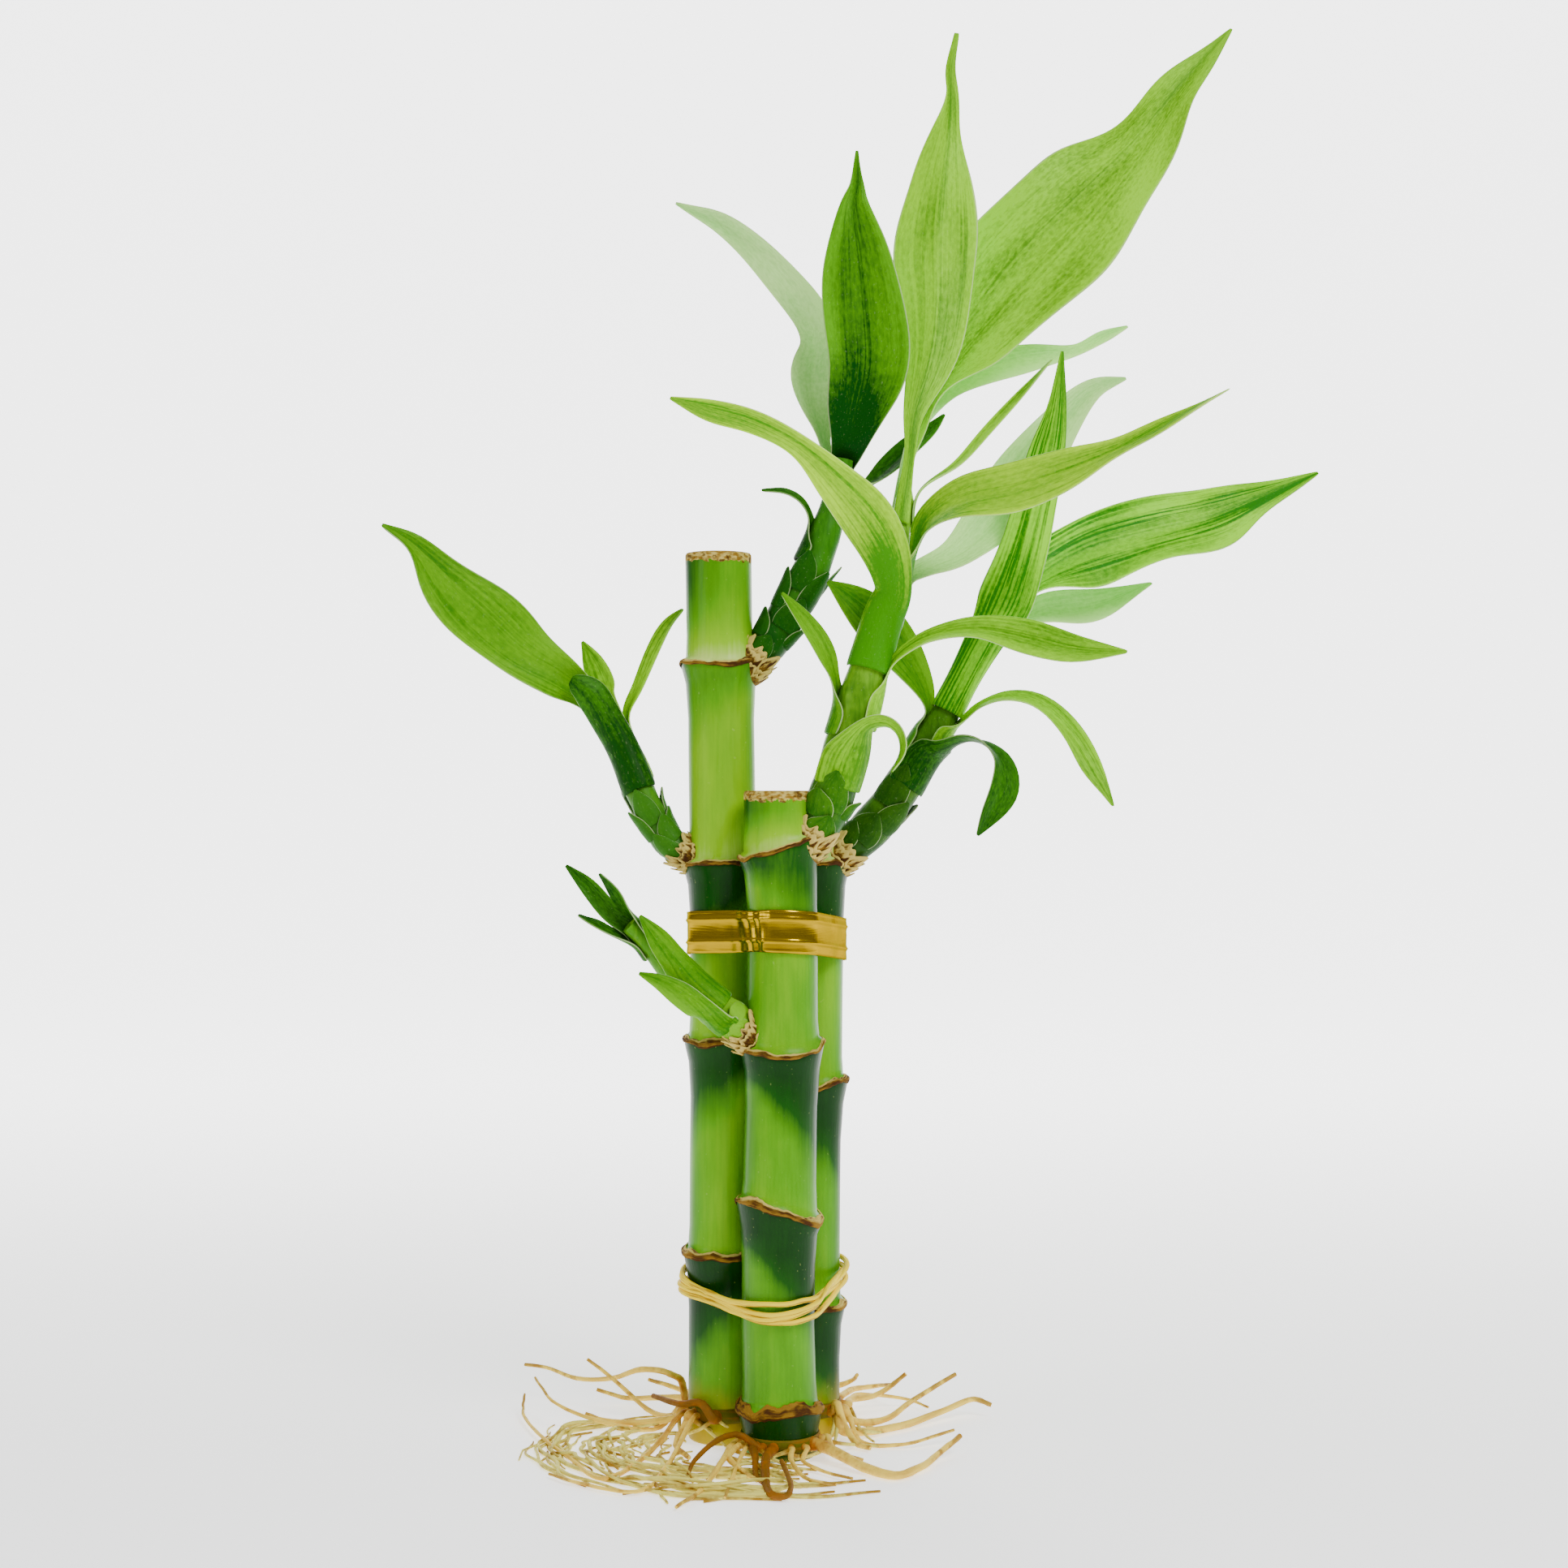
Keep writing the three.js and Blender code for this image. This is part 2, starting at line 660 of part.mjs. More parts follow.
// Each leaf: its stem, the stretch and side of the stem that its base clasps and how far it wraps,
// then its blade as stations of pixel across, pixel down, depth, width, turn and curl.
const LEAVES = {
  leaf_a_curled: {
    stem: "a",
    clasp: [0.54, 0.62, 180, 130],
    blade: [
      [999, 640, 14, 3.2, 290, 50],
      [988, 617, 13, 2.8, 300, 40],
      [966, 604, 12, 2.2, 310, 20],
      [938, 604, 11, 0.7, 320, 10],
    ],
  },
  leaf_a_low: {
    stem: "a",
    clasp: [0.72, 0.8, 20, 120],
    blade: [
      [1070, 598, 20, 5, 60, 50],
      [1092, 578, 22, 7, 45, 30],
      [1118, 553, 25, 6.8, 40, 25],
      [1145, 530, 27, 4.5, 40, 15],
      [1164, 510, 28, 0.7, 40, 10],
    ],
  },
  leaf_a_pale: {
    stem: "a",
    clasp: [0.8, 0.89, 205, 110],
    blade: [
      [1014, 545, 20, 4.5, 310, 50],
      [1006, 505, 24, 8.5, 340, 40],
      [1003, 462, 27, 10.5, 360, 35],
      [1008, 420, 31, 8.8, 370, 30],
      [985, 370, 36, 9, 375, 20],
      [940, 315, 42, 8, 380, 20],
      [885, 275, 47, 5, 380, 15],
      [832, 250, 51, 0.7, 380, 10],
    ],
  },
  leaf_a_top: {
    stem: "a",
    clasp: [0.9, 0.99, 270, 150],
    blade: [
      [1046, 548, 16, 9, 360, 90],
      [1056, 505, 14.5, 14.5, 360, 50],
      [1068, 450, 13.5, 19, 360, 35],
      [1065, 385, 13.5, 19.3, 360, 25],
      [1059, 318, 14, 16, 370, 20],
      [1051, 256, 15, 7.5, 370, 10],
      [1055, 225, 15.5, 3, 370, 10],
      [1056, 185, 16, 0.7, 360, 10],
    ],
  },
  leaf_b_curled: {
    stem: "b",
    clasp: [0.24, 0.34, 60, 180],
    blade: [
      [1066, 898, -9, 6, 140, 80],
      [1090, 890, -10.5, 5, 120, 50],
      [1108, 903, -11.5, 4.6, 110, 40],
      [1112, 928, -12, 3.6, 110, 30],
      [1098, 952, -12.5, 0.7, 110, 10],
    ],
  },
  leaf_b_left: {
    stem: "b",
    clasp: [0.38, 0.46, 180, 120],
    blade: [
      [1028, 840, -3, 4, 300, 60],
      [1020, 812, -4, 5, 325, 40],
      [1006, 784, -6, 5, 335, 30],
      [985, 755, -8, 3.4, 340, 20],
      [963, 730, -10, 0.7, 340, 10],
    ],
  },
  leaf_b_arching: {
    stem: "b",
    clasp: [0.42, 0.52, 0, 130],
    blade: [
      [1094, 826, -3, 3.6, 70, 60],
      [1112, 803, -5, 4.2, 60, 50],
      [1147, 783, -8, 5.5, 50, 30],
      [1205, 774, -12, 7, 40, 25],
      [1265, 785, -17, 9.8, 35, 20],
      [1325, 800, -21, 7.8, 35, 15],
      [1390, 803, -24, 0.7, 35, 10],
    ],
  },
  leaf_b_folded: {
    stem: "b",
    clasp: [0.56, 0.68, 95, 170],
    blade: [
      [1101, 728, -5, 9.5, 180, 100],
      [1094, 685, -8, 11.5, 180, 70],
      [1068, 638, -11, 12.5, 185, 50],
      [1030, 594, -15, 9.5, 200, 35],
      [985, 551, -19, 6, 215, 30],
      [928, 521, -23, 6, 215, 20],
      [873, 505, -27, 5.2, 215, 15],
      [825, 490, -30, 0.7, 220, 10],
    ],
  },
  leaf_b_wide: {
    stem: "b",
    clasp: [0.67, 0.76, 20, 130],
    blade: [
      [1128, 685, -1, 9, 90, 80],
      [1142, 645, -5, 12.5, 65, 50],
      [1185, 617, -10, 14.8, 50, 35],
      [1250, 602, -15, 15.4, 40, 25],
      [1320, 579, -20, 12.8, 40, 25],
      [1380, 552, -24, 7.8, 60, 25],
      [1440, 520, -27, 4.4, 80, 20],
      [1517, 478, -30, 0.7, 90, 10],
    ],
  },
  leaf_b_hidden: {
    stem: "b",
    clasp: [0.68, 0.78, 310, 100],
    blade: [
      [1135, 703, 8, 6, 35, 50],
      [1180, 682, 14, 9, 30, 30],
      [1225, 640, 20, 14, 20, 25],
      [1262, 585, 24, 15, 15, 20],
      [1305, 525, 27, 10, 10, 20],
      [1345, 480, 29, 6, 20, 10],
      [1388, 466, 30, 0.7, 20, 10],
    ],
  },
  leaf_b_thin: {
    stem: "b",
    clasp: [0.92, 0.99, 0, 60],
    blade: [
      [1140, 598, 10, 2.6, 80, 40],
      [1180, 572, 13, 2.8, 75, 20],
      [1218, 528, 16, 2.6, 75, 15],
      [1262, 480, 19, 2.2, 75, 10],
      [1297, 442, 21, 0.7, 75, 10],
    ],
  },
  leaf_b_top: {
    stem: "b",
    clasp: [0.91, 0.99, 95, 80],
    blade: [
      [1121, 560, 10, 2.6, 180, 60],
      [1126, 510, 14, 5, 180, 50],
      [1146, 440, 19, 12, 180, 35],
      [1153, 370, 23, 17.5, 180, 25],
      [1153, 295, 26, 20, 180, 20],
      [1160, 220, 28, 15, 180, 20],
      [1171, 150, 29.5, 7, 180, 15],
      [1175, 100, 30.5, 3, 180, 10],
      [1178, 40, 31, 0.7, 180, 10],
    ],
  },
  leaf_b_great: {
    stem: "b",
    clasp: [0.91, 0.99, 310, 60],
    blade: [
      [1118, 590, 14, 2.6, 40, 60],
      [1128, 540, 20, 3.2, 30, 50],
      [1150, 480, 26, 9, 20, 35],
      [1193, 413, 32, 22, 20, 25],
      [1265, 324, 39, 35, 20, 25],
      [1341, 245, 45, 29.5, 20, 20],
      [1402, 179, 50, 19, 20, 20],
      [1458, 105, 54, 10, 20, 15],
      [1518, 35, 58, 0.7, 20, 10],
    ],
  },
  leaf_b_behind: {
    stem: "b",
    clasp: [0.91, 0.99, 235, 60],
    blade: [
      [1112, 585, 14, 2.6, 330, 50],
      [1128, 530, 24, 3, 350, 40],
      [1163, 482, 34, 6.5, 370, 25],
      [1215, 455, 41, 9, 380, 20],
      [1270, 440, 46, 8, 385, 15],
      [1325, 432, 50, 4, 390, 10],
      [1358, 415, 52, 4, 390, 10],
      [1390, 402, 54, 0.7, 390, 10],
    ],
  },
  leaf_c_drooping: {
    stem: "c",
    clasp: [0.34, 0.44, 60, 160],
    blade: [
      [1160, 925, 8, 6, 135, 90],
      [1185, 912, 6, 5.6, 110, 60],
      [1212, 914, 3, 6, 80, 40],
      [1236, 938, 0, 7.8, 50, 30],
      [1236, 972, -3, 8.2, 30, 25],
      [1221, 1002, -5, 5.6, 30, 20],
      [1204, 1030, -6, 0.7, 30, 10],
    ],
  },
  leaf_c_arching: {
    stem: "c",
    clasp: [0.46, 0.55, 20, 130],
    blade: [
      [1186, 890, 12, 3.6, 80, 70],
      [1206, 868, 10, 4, 70, 50],
      [1240, 857, 6, 4.5, 60, 30],
      [1282, 868, 1, 4.4, 50, 25],
      [1322, 905, -4, 4.1, 45, 20],
      [1350, 950, -8, 3.1, 40, 15],
      [1372, 994, -11, 0.7, 40, 10],
    ],
  },
  leaf_c_left: {
    stem: "c",
    clasp: [0.42, 0.5, 190, 110],
    blade: [
      [1143, 878, 13, 4.2, 290, 60],
      [1138, 850, 11, 7, 315, 45],
      [1116, 812, 9, 11, 330, 30],
      [1085, 774, 8.5, 13, 335, 25],
      [1052, 741, 8, 8.5, 340, 20],
      [1019, 716, 7, 0.7, 340, 10],
    ],
  },
  leaf_c_upright: {
    stem: "c",
    clasp: [0.6, 0.74, 90, 150],
    blade: [
      [1218, 780, 11, 10.5, 180, 90],
      [1239, 742, 10.5, 13.5, 180, 55],
      [1257, 690, 11, 12, 180, 45],
      [1273, 630, 12, 10.5, 180, 40],
      [1290, 560, 13, 9, 180, 35],
      [1302, 500, 14, 4.5, 180, 20],
      [1309, 432, 15, 0.7, 180, 10],
    ],
  },
  leaf_c_wide: {
    stem: "c",
    clasp: [0.8, 0.9, 320, 120],
    blade: [
      [1252, 740, 21, 8, 50, 60],
      [1290, 706, 25, 14, 30, 30],
      [1345, 678, 30, 19.2, 25, 22],
      [1420, 657, 35, 19.6, 25, 20],
      [1490, 639, 39, 16.6, 25, 20],
      [1550, 615, 43, 9.7, 25, 15],
      [1625, 582, 47, 0.7, 25, 10],
    ],
  },
  leaf_c_pale: {
    stem: "c",
    clasp: [0.72, 0.8, 270, 90],
    blade: [
      [1245, 772, 24, 4.4, 30, 40],
      [1290, 750, 31, 7, 40, 25],
      [1350, 742, 39, 8, 40, 20],
      [1420, 718, 47, 0.7, 40, 10],
    ],
  },
  leaf_d_tall: {
    stem: "d",
    clasp: [0.54, 0.62, 30, 100],
    blade: [
      [772, 888, 17.5, 2.8, 60, 50],
      [784, 850, 18, 3.4, 50, 30],
      [801, 805, 19, 5, 45, 25],
      [820, 772, 20, 5, 45, 20],
      [842, 750, 21, 0.7, 45, 10],
    ],
  },
  leaf_d_short: {
    stem: "d",
    clasp: [0.78, 0.85, 305, 90],
    blade: [
      [750, 862, 22.5, 5.5, 30, 50],
      [744, 842, 23.5, 7, 20, 30],
      [733, 816, 24.5, 5.5, 20, 20],
      [717, 790, 25.5, 0.7, 20, 10],
    ],
  },
  leaf_d_sheath: {
    stem: "d",
    clasp: [0.5, 0.72, 95, 170],
    blade: [
      [744, 882, 11.5, 9, 180, 120],
      [728, 856, 11, 8.5, 180, 90],
      [710, 842, 11, 5, 180, 60],
      [703, 838, 11.2, 2, 180, 40],
    ],
  },
  leaf_d_great: {
    stem: "d",
    clasp: [0.86, 0.97, 265, 140],
    blade: [
      [722, 857, 18, 7, 355, 80],
      [690, 831, 15, 11, 350, 50],
      [643, 804, 11, 14.8, 345, 35],
      [596, 761, 6, 16, 340, 25],
      [549, 715, 1, 11.6, 340, 20],
      [510, 673, -4, 5.2, 340, 10],
      [470, 646, -8, 0.7, 340, 10],
    ],
  },
  leaf_e_sheath: {
    stem: "e",
    clasp: [0.32, 0.5, 75, 170],
    blade: [
      [834, 1186, -10, 7.5, 165, 110],
      [812, 1157, -10.5, 5.6, 160, 70],
      [788, 1128, -11, 0.7, 160, 20],
    ],
  },
  leaf_e_low: {
    stem: "e",
    clasp: [0.26, 0.36, 190, 120],
    blade: [
      [842, 1234, -6, 4.6, 290, 60],
      [816, 1218, -7, 3.8, 300, 40],
      [788, 1200, -8, 0.7, 310, 10],
    ],
  },
  leaf_e_right: {
    stem: "e",
    clasp: [0.7, 0.82, 20, 120],
    blade: [
      [776, 1124, -8, 5, 70, 60],
      [758, 1100, -8.5, 4.4, 50, 40],
      [738, 1076, -9, 0.7, 50, 10],
    ],
  },
  leaf_e_tip: {
    stem: "e",
    clasp: [0.88, 0.99, 270, 150],
    blade: [
      [750, 1122, -6, 5, 355, 80],
      [724, 1092, -6, 4, 355, 50],
      [697, 1066, -6, 0.7, 355, 10],
    ],
  },
  leaf_e_left: {
    stem: "e",
    clasp: [0.76, 0.88, 190, 110],
    blade: [
      [753, 1150, -8, 4, 290, 60],
      [733, 1138, -9, 3.2, 300, 40],
      [712, 1127, -9, 0.7, 300, 10],
    ],
  },
};

const LONGEST_STEP = 14;
const CLASP_CLEARANCE = 1.2 * CLEARANCE;
const WIDE_BLADE = 12;
const WIDE_CLASP = 140;
const NARROW_BLADE = 4;
const NARROW_CLASP = 80;

function leafStations(leaf) {
  const [from, to, side, wrap] = leaf.clasp;
  const stem = STEMS[leaf.stem];
  const halfCell = THREE.MathUtils.degToRad(wrap) / (2 * cellsAcross(leaf));
  const reachFrom = (radius) => (radius + CLASP_CLEARANCE) / Math.cos(halfCell) + BLADE_THICKNESS / 2;
  const root = claspStation(stem, from, side, wrap, reachFrom);
  const rim = claspStation(stem, to, side, wrap, reachFrom);
  const wholeTurns = 360 * Math.round((root.turn - leaf.blade[0][4]) / 360);
  const outer = leaf.blade.map(([px, py, depth, width, turn, curl]) => ({
    at: seen(px, py, depth),
    width,
    turn: turn + wholeTurns,
    curl,
  }));
  return [root, rim, ...outer];
}

function cellsAcross(leaf) {
  const widest = Math.max(...leaf.blade.map((station) => station[3]));
  const wrap = leaf.clasp[3];
  if (widest > WIDE_BLADE || wrap > WIDE_CLASP) return 4;
  return widest > NARROW_BLADE || wrap > NARROW_CLASP ? 3 : 2;
}

function leafBlade(leaf, grow = 0) {
  const stations = leafStations(leaf);
  const length = new THREE.CatmullRomCurve3(stations.map((s) => s.at)).getLength();
  const steps = Math.max(stations.length - 1, Math.ceil(length / LONGEST_STEP));
  return blade(stations, steps, cellsAcross(leaf), grow);
}

const LEAST_OVERLAP = 1e-4;

function crosses(solid, other) {
  return solid.intersect(other).volume() > LEAST_OVERLAP;
}

// Each leaf is cut clear of the stem that it clasps, and of the leaves before it that it meets.
const leafSolids = [];
for (const [name, leaf] of Object.entries(LEAVES)) {
  let solid = toSolid(leafBlade(leaf));
  const obstacles = [...Object.values(stemClearance), ...leafSolids.map((done) => done.clearance)];
  for (const obstacle of obstacles) {
    if (crosses(solid, obstacle)) solid = largest(solid.subtract(obstacle));
  }
  leafSolids.push({ name, solid, clearance: toSolid(leafBlade(leaf, CLEARANCE)) });
  addPiece(name, toGeometry(solid), finish(COLOURS.leaf, 0.45));
}

// Roots

// A point at a known height over the ground, where the view shows it.
function seenAtHeight(px, py, height) {
  const drop = (py - VIEW_CENTRE_PIXEL) * MM_PER_PIXEL;
  const depth = VIEW_DISTANCE * ((EYE_HEIGHT - height) / drop - 1);
  return seen(px, py, depth);
}

// Each tuft: its cane and the height of its crown, and the roots that the view shows.
// Each root: where it leaves the crown in degrees (0 right, 90 away, -90 toward the viewer),
// its thickness against the thickest, and points of pixel across, pixel down and height.
const TUFTS = {
  front: {
    crown: [2.2, 4.8],
    seenRoots: [
      [-35, 1.2, [
        [1028, 1789, 3], [1065, 1808, 1.6], [1102, 1818, 1.2], [1134, 1808, 1.2], [1159, 1789, 1.8],
        [1183, 1769, 4],
      ]],
      [-12, 1.1, [[1018, 1770, 4], [1030, 1790, 2.6], [1062, 1800, 1.4]]],
      [-100, 1, [
        [944, 1795, 4], [942, 1820, 1.6], [952, 1842, 1.2], [968, 1844, 1.2], [974, 1830, 2],
        [962, 1800, 3.4],
      ]],
      [-125, 1, [[930, 1795, 3.6], [932, 1818, 1.2], [940, 1828, 1]]],
      [-115, 0.8, [[912, 1768, 6], [874, 1781, 6], [854, 1803, 3], [847, 1817, 1]]],
      [-145, 0.9, [[898, 1796, 3], [914, 1812, 1.4], [932, 1824, 1]]],
      [-160, 0.8, [[890, 1800, 3], [866, 1834, 1.2], [833, 1857, 1]]],
      [-75, 0.7, [[975, 1800, 3], [995, 1822, 1.2], [1031, 1829, 1]]],
      [-135, 0.6, [[905, 1815, 1.6], [893, 1845, 1]]],
      [-55, 0.6, [[990, 1800, 2], [1012, 1812, 1], [1050, 1822, 1]]],
    ],
  },
  tall: {
    crown: [5.4, 8],
    seenRoots: [
      [150, 0.8, [
        [838, 1700, 11], [822, 1691, 13], [791, 1687, 13], [755, 1698, 9], [710, 1698, 7],
        [673, 1685, 8], [647, 1681, 8],
      ]],
      [-100, 1.2, [[878, 1748, 7], [864, 1729, 10], [840, 1730, 9], [804, 1720, 8]]],
      [-165, 1, [[836, 1745, 5], [783, 1753, 2], [742, 1750, 1.4], [720, 1742, 3]]],
      [-140, 1.1, [[846, 1752, 5], [833, 1779, 1.8], [849, 1796, 1.2]]],
      [175, 0.8, [[832, 1742, 5], [800, 1738, 3], [759, 1702, 9], [724, 1675, 15]]],
      [-155, 0.6, [
        [800, 1790, 1], [742, 1822, 1], [702, 1796, 1], [668, 1770, 1.4], [644, 1738, 2],
        [647, 1718, 4],
      ]],
      [165, 0.6, [[810, 1760, 1], [726, 1747, 3], [681, 1726, 6], [659, 1697, 9]]],
      [-130, 0.6, [[822, 1806, 1], [783, 1838, 1], [722, 1829, 1], [677, 1816, 1]]],
      [120, 0.9, [[812, 1722, 4], [770, 1722, 2], [735, 1712, 4]]],
      [95, 0.9, [[850, 1716, 4], [826, 1708, 4], [800, 1700, 7]]],
    ],
  },
  right: {
    crown: [5.4, 8],
    seenRoots: [
      [-50, 1.1, [[1030, 1728, 9], [1040, 1755, 4.5], [1055, 1778, 1.4], [1072, 1784, 1]]],
      [-5, 1, [[1048, 1724, 6], [1082, 1718, 5], [1116, 1693, 10]]],
      [-30, 1, [[1050, 1750, 4], [1093, 1748, 2.4], [1122, 1727, 5], [1177, 1693, 10]]],
      [-45, 1.1, [
        [1038, 1762, 3.4], [1061, 1764, 1.8], [1110, 1757, 1.4], [1163, 1738, 2.4], [1200, 1724, 4],
        [1222, 1731, 3],
      ]],
      [-20, 0.7, [[1060, 1776, 1], [1110, 1780, 1], [1175, 1762, 3]]],
      [10, 0.6, [[1060, 1718, 4], [1118, 1724, 2], [1144, 1734, 1.2]]],
      [40, 0.9, [[1050, 1712, 4], [1075, 1708, 3], [1100, 1706, 6]]],
      [70, 0.9, [[1030, 1708, 5], [1048, 1702, 6], [1056, 1694, 9]]],
      [110, 0.8, [[1000, 1708, 5], [985, 1704, 5], [992, 1694, 8]]],
    ],
  },
};

const CROWN_STEPS = 12;
const CROWN_THICKNESS = 0.9;
const ROOT_SIDES = 4;
const ROOT_STEP = 10;
const ROOT_EXITS = [0.3, 1.6];
const GROUND_CLEARANCE = 0.1;

function crownRing(cane, [low, high]) {
  const rings = [];
  for (let i = 0; i < CROWN_STEPS; i++) {
    const angle = (TURN * i) / CROWN_STEPS;
    const corner = (height, out) => {
      const { x, y, radius } = caneAt(cane, height);
      const reach = radius + CLEARANCE + out;
      return new THREE.Vector3(x + reach * Math.cos(angle), y + reach * Math.sin(angle), height);
    };
    rings.push([
      corner(low, 0),
      corner(high, 0),
      corner(high, CROWN_THICKNESS),
      corner(low, CROWN_THICKNESS),
    ]);
  }
  return skin(rings, true);
}

// A root leaves the crown square to the cane, then bends over to its own course.
function rootRod(cane, crown, [angle, thickness, course]) {
  const height = (crown[0] + crown[1]) / 2;
  const { x, y, radius } = caneAt(cane, height);
  const turn = THREE.MathUtils.degToRad(angle);
  const outFrom = (away) => {
    const reach = radius + CLEARANCE + away;
    return new THREE.Vector3(x + reach * Math.cos(turn), y + reach * Math.sin(turn), height);
  };
  const guide = [...ROOT_EXITS.map(outFrom), ...course.map((point) => seenAtHeight(...point))];
  const curve = new THREE.CatmullRomCurve3(guide, false, "centripetal");
  const steps = Math.max(guide.length - 1, Math.ceil(curve.getLength() / ROOT_STEP));
  const points = curve.getSpacedPoints(steps);
  const radii = points.map((_, i) => {
    const share = i / steps;
    return THREE.MathUtils.lerp(ROOT_RADIUS * thickness, ROOT_TIP_RADIUS, share);
  });
  points.forEach((point, i) => {
    point.z = Math.max(point.z, radii[i] + GROUND_CLEARANCE);
  });
  return rod(points, radii, ROOT_SIDES);
}

for (const [name, tuft] of Object.entries(TUFTS)) {
  const cane = CANES[name];
  const roots = tuft.seenRoots.map((root) => rootRod(cane, tuft.crown, root));
  let solid = joined([crownRing(cane, tuft.crown), ...roots]);
  for (const caneSkin of Object.values(caneSkins)) solid = solid.subtract(caneSkin);
  addPiece(`roots_${name}`, toGeometry(largest(solid)), finish(COLOURS.root, 0.8));
}

export default bundle;
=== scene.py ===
"""A tied bundle of three lucky bamboo canes, with leafy shoots, roots, a foil band and a raffia tie

Tables are in millimetres and degrees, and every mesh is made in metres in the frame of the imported
model: +Z up, +X to the right and +Y away from someone who looks at the front cane. The middle of
that cane's foot is the origin.
"""
import functools
import math
import random

import bpy
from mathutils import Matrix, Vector, noise


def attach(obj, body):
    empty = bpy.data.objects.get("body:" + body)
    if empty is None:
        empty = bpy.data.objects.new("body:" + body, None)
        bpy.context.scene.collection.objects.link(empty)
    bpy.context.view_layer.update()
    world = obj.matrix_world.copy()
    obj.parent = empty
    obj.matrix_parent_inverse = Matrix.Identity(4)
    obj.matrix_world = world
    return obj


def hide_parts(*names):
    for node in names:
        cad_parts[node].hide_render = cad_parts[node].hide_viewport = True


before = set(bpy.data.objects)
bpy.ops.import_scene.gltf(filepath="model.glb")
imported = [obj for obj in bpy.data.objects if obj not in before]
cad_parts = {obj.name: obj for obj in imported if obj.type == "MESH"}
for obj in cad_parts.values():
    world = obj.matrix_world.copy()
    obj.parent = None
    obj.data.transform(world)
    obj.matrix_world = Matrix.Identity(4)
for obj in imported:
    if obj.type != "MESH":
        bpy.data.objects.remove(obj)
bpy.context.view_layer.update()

bl_info = {
    "name": "Lucky bamboo bundle",
    "version": (1, 0, 0),
    "blender": (4, 5, 0),
    "location": "3D View > Sidebar > Bamboo",
    "description": "Three tied canes with leafy shoots, roots, a foil band and a raffia tie",
    "category": "Object",
}

MM = 0.001
TURN = 2 * math.pi

# The view that the points are read off: its pixels, a pixel's size on the plane through the front
# cane, and where the eye is
VIEW_PIXELS = 1932
VIEW_CENTRE_PIXEL = VIEW_PIXELS / 2
MM_PER_PIXEL = 0.182
VIEW_DISTANCE = 530
EYE_HEIGHT = 150
EYE_ACROSS = 0.7

# Driving sizes of the bundle, and how far what is tied round a cane stays off its skin
TALL_CANE_HEIGHT = 203
FRONT_CANE_HEIGHT = 148.5
RIGHT_CANE_HEIGHT = 139
CLEARANCE = 0.3

# Each cane: its foot on the ground, how its axis drifts across with height, its radius, and its
# nodes. The tone of its skin between nodes runs from 0, the palest, to 1, the darkest, and its lean
# is how much further down the dark skin under a node reaches on its right side, as painted shade.
# Each node has a scar: how wide it is, how far it tilts up to the right, and how far it waves.
# Each shade is how dark the skin is under its node, and each glow how pale it is above it.
CANES = {
    "tall": {
        "height": TALL_CANE_HEIGHT,
        "foot": [-13.3, 13.0],
        "drift": [0, 0.1, 0.3, 0.1, -0.4, -1.1],
        "radii": [8.0, 7.9, 7.8, 7.7, 7.6, 7.6],
        "nodes": [43, 91.5, 132, 178],
        "tone": 0.36,
        "lean": -0.8,
        "scars": [1.8, 1.5, 1.1, 1.3],
        "tilts": [0, -0.05, 0.05, 0.12],
        "waves": [0.2, 0.5, 0.3, 0.9],
        "shades": [1.0, 0.8, 0.95, 0.35],
        "glows": [0.1, 0.1, 0.3, 0.9],
    },
    "front": {
        "height": FRONT_CANE_HEIGHT,
        "foot": [0, 0],
        "drift": [0, -0.7, -0.3, 0.3, 0.4, -0.8],
        "radii": [8.2, 8.2, 8.2, 8.0, 7.9, 7.6],
        "nodes": [11, 55.2, 90.7, 135.8],
        "tone": 0.44,
        "lean": 1.0,
        "scars": [2.8, 1.9, 1.2, 1.1],
        "tilts": [0, -0.25, 0.1, 0.3],
        "waves": [0.5, 0.9, 1.1, 0.4],
        "shades": [0.75, 1.0, 0.8, 0.55],
        "glows": [0.2, 0.3, 0.2, 0.8],
    },
    "right": {
        "height": RIGHT_CANE_HEIGHT,
        "foot": [6.6, 16.3],
        "drift": [0, 0, 0.2, 0.6, 0.8, 1.0],
        "radii": [7.0, 6.9, 6.9, 6.9, 7.0, 7.0],
        "nodes": [30.3, 80.9, 131.5],
        "tone": 0.42,
        "lean": 0.6,
        "scars": [1.6, 1.4, 1.2],
        "tilts": [0, 0.12, 0.1],
        "waves": [0.3, 0.6, 0.4],
        "shades": [0.95, 0.9, 0.85],
        "glows": [0.1, 0.2, 0.9],
    },
}

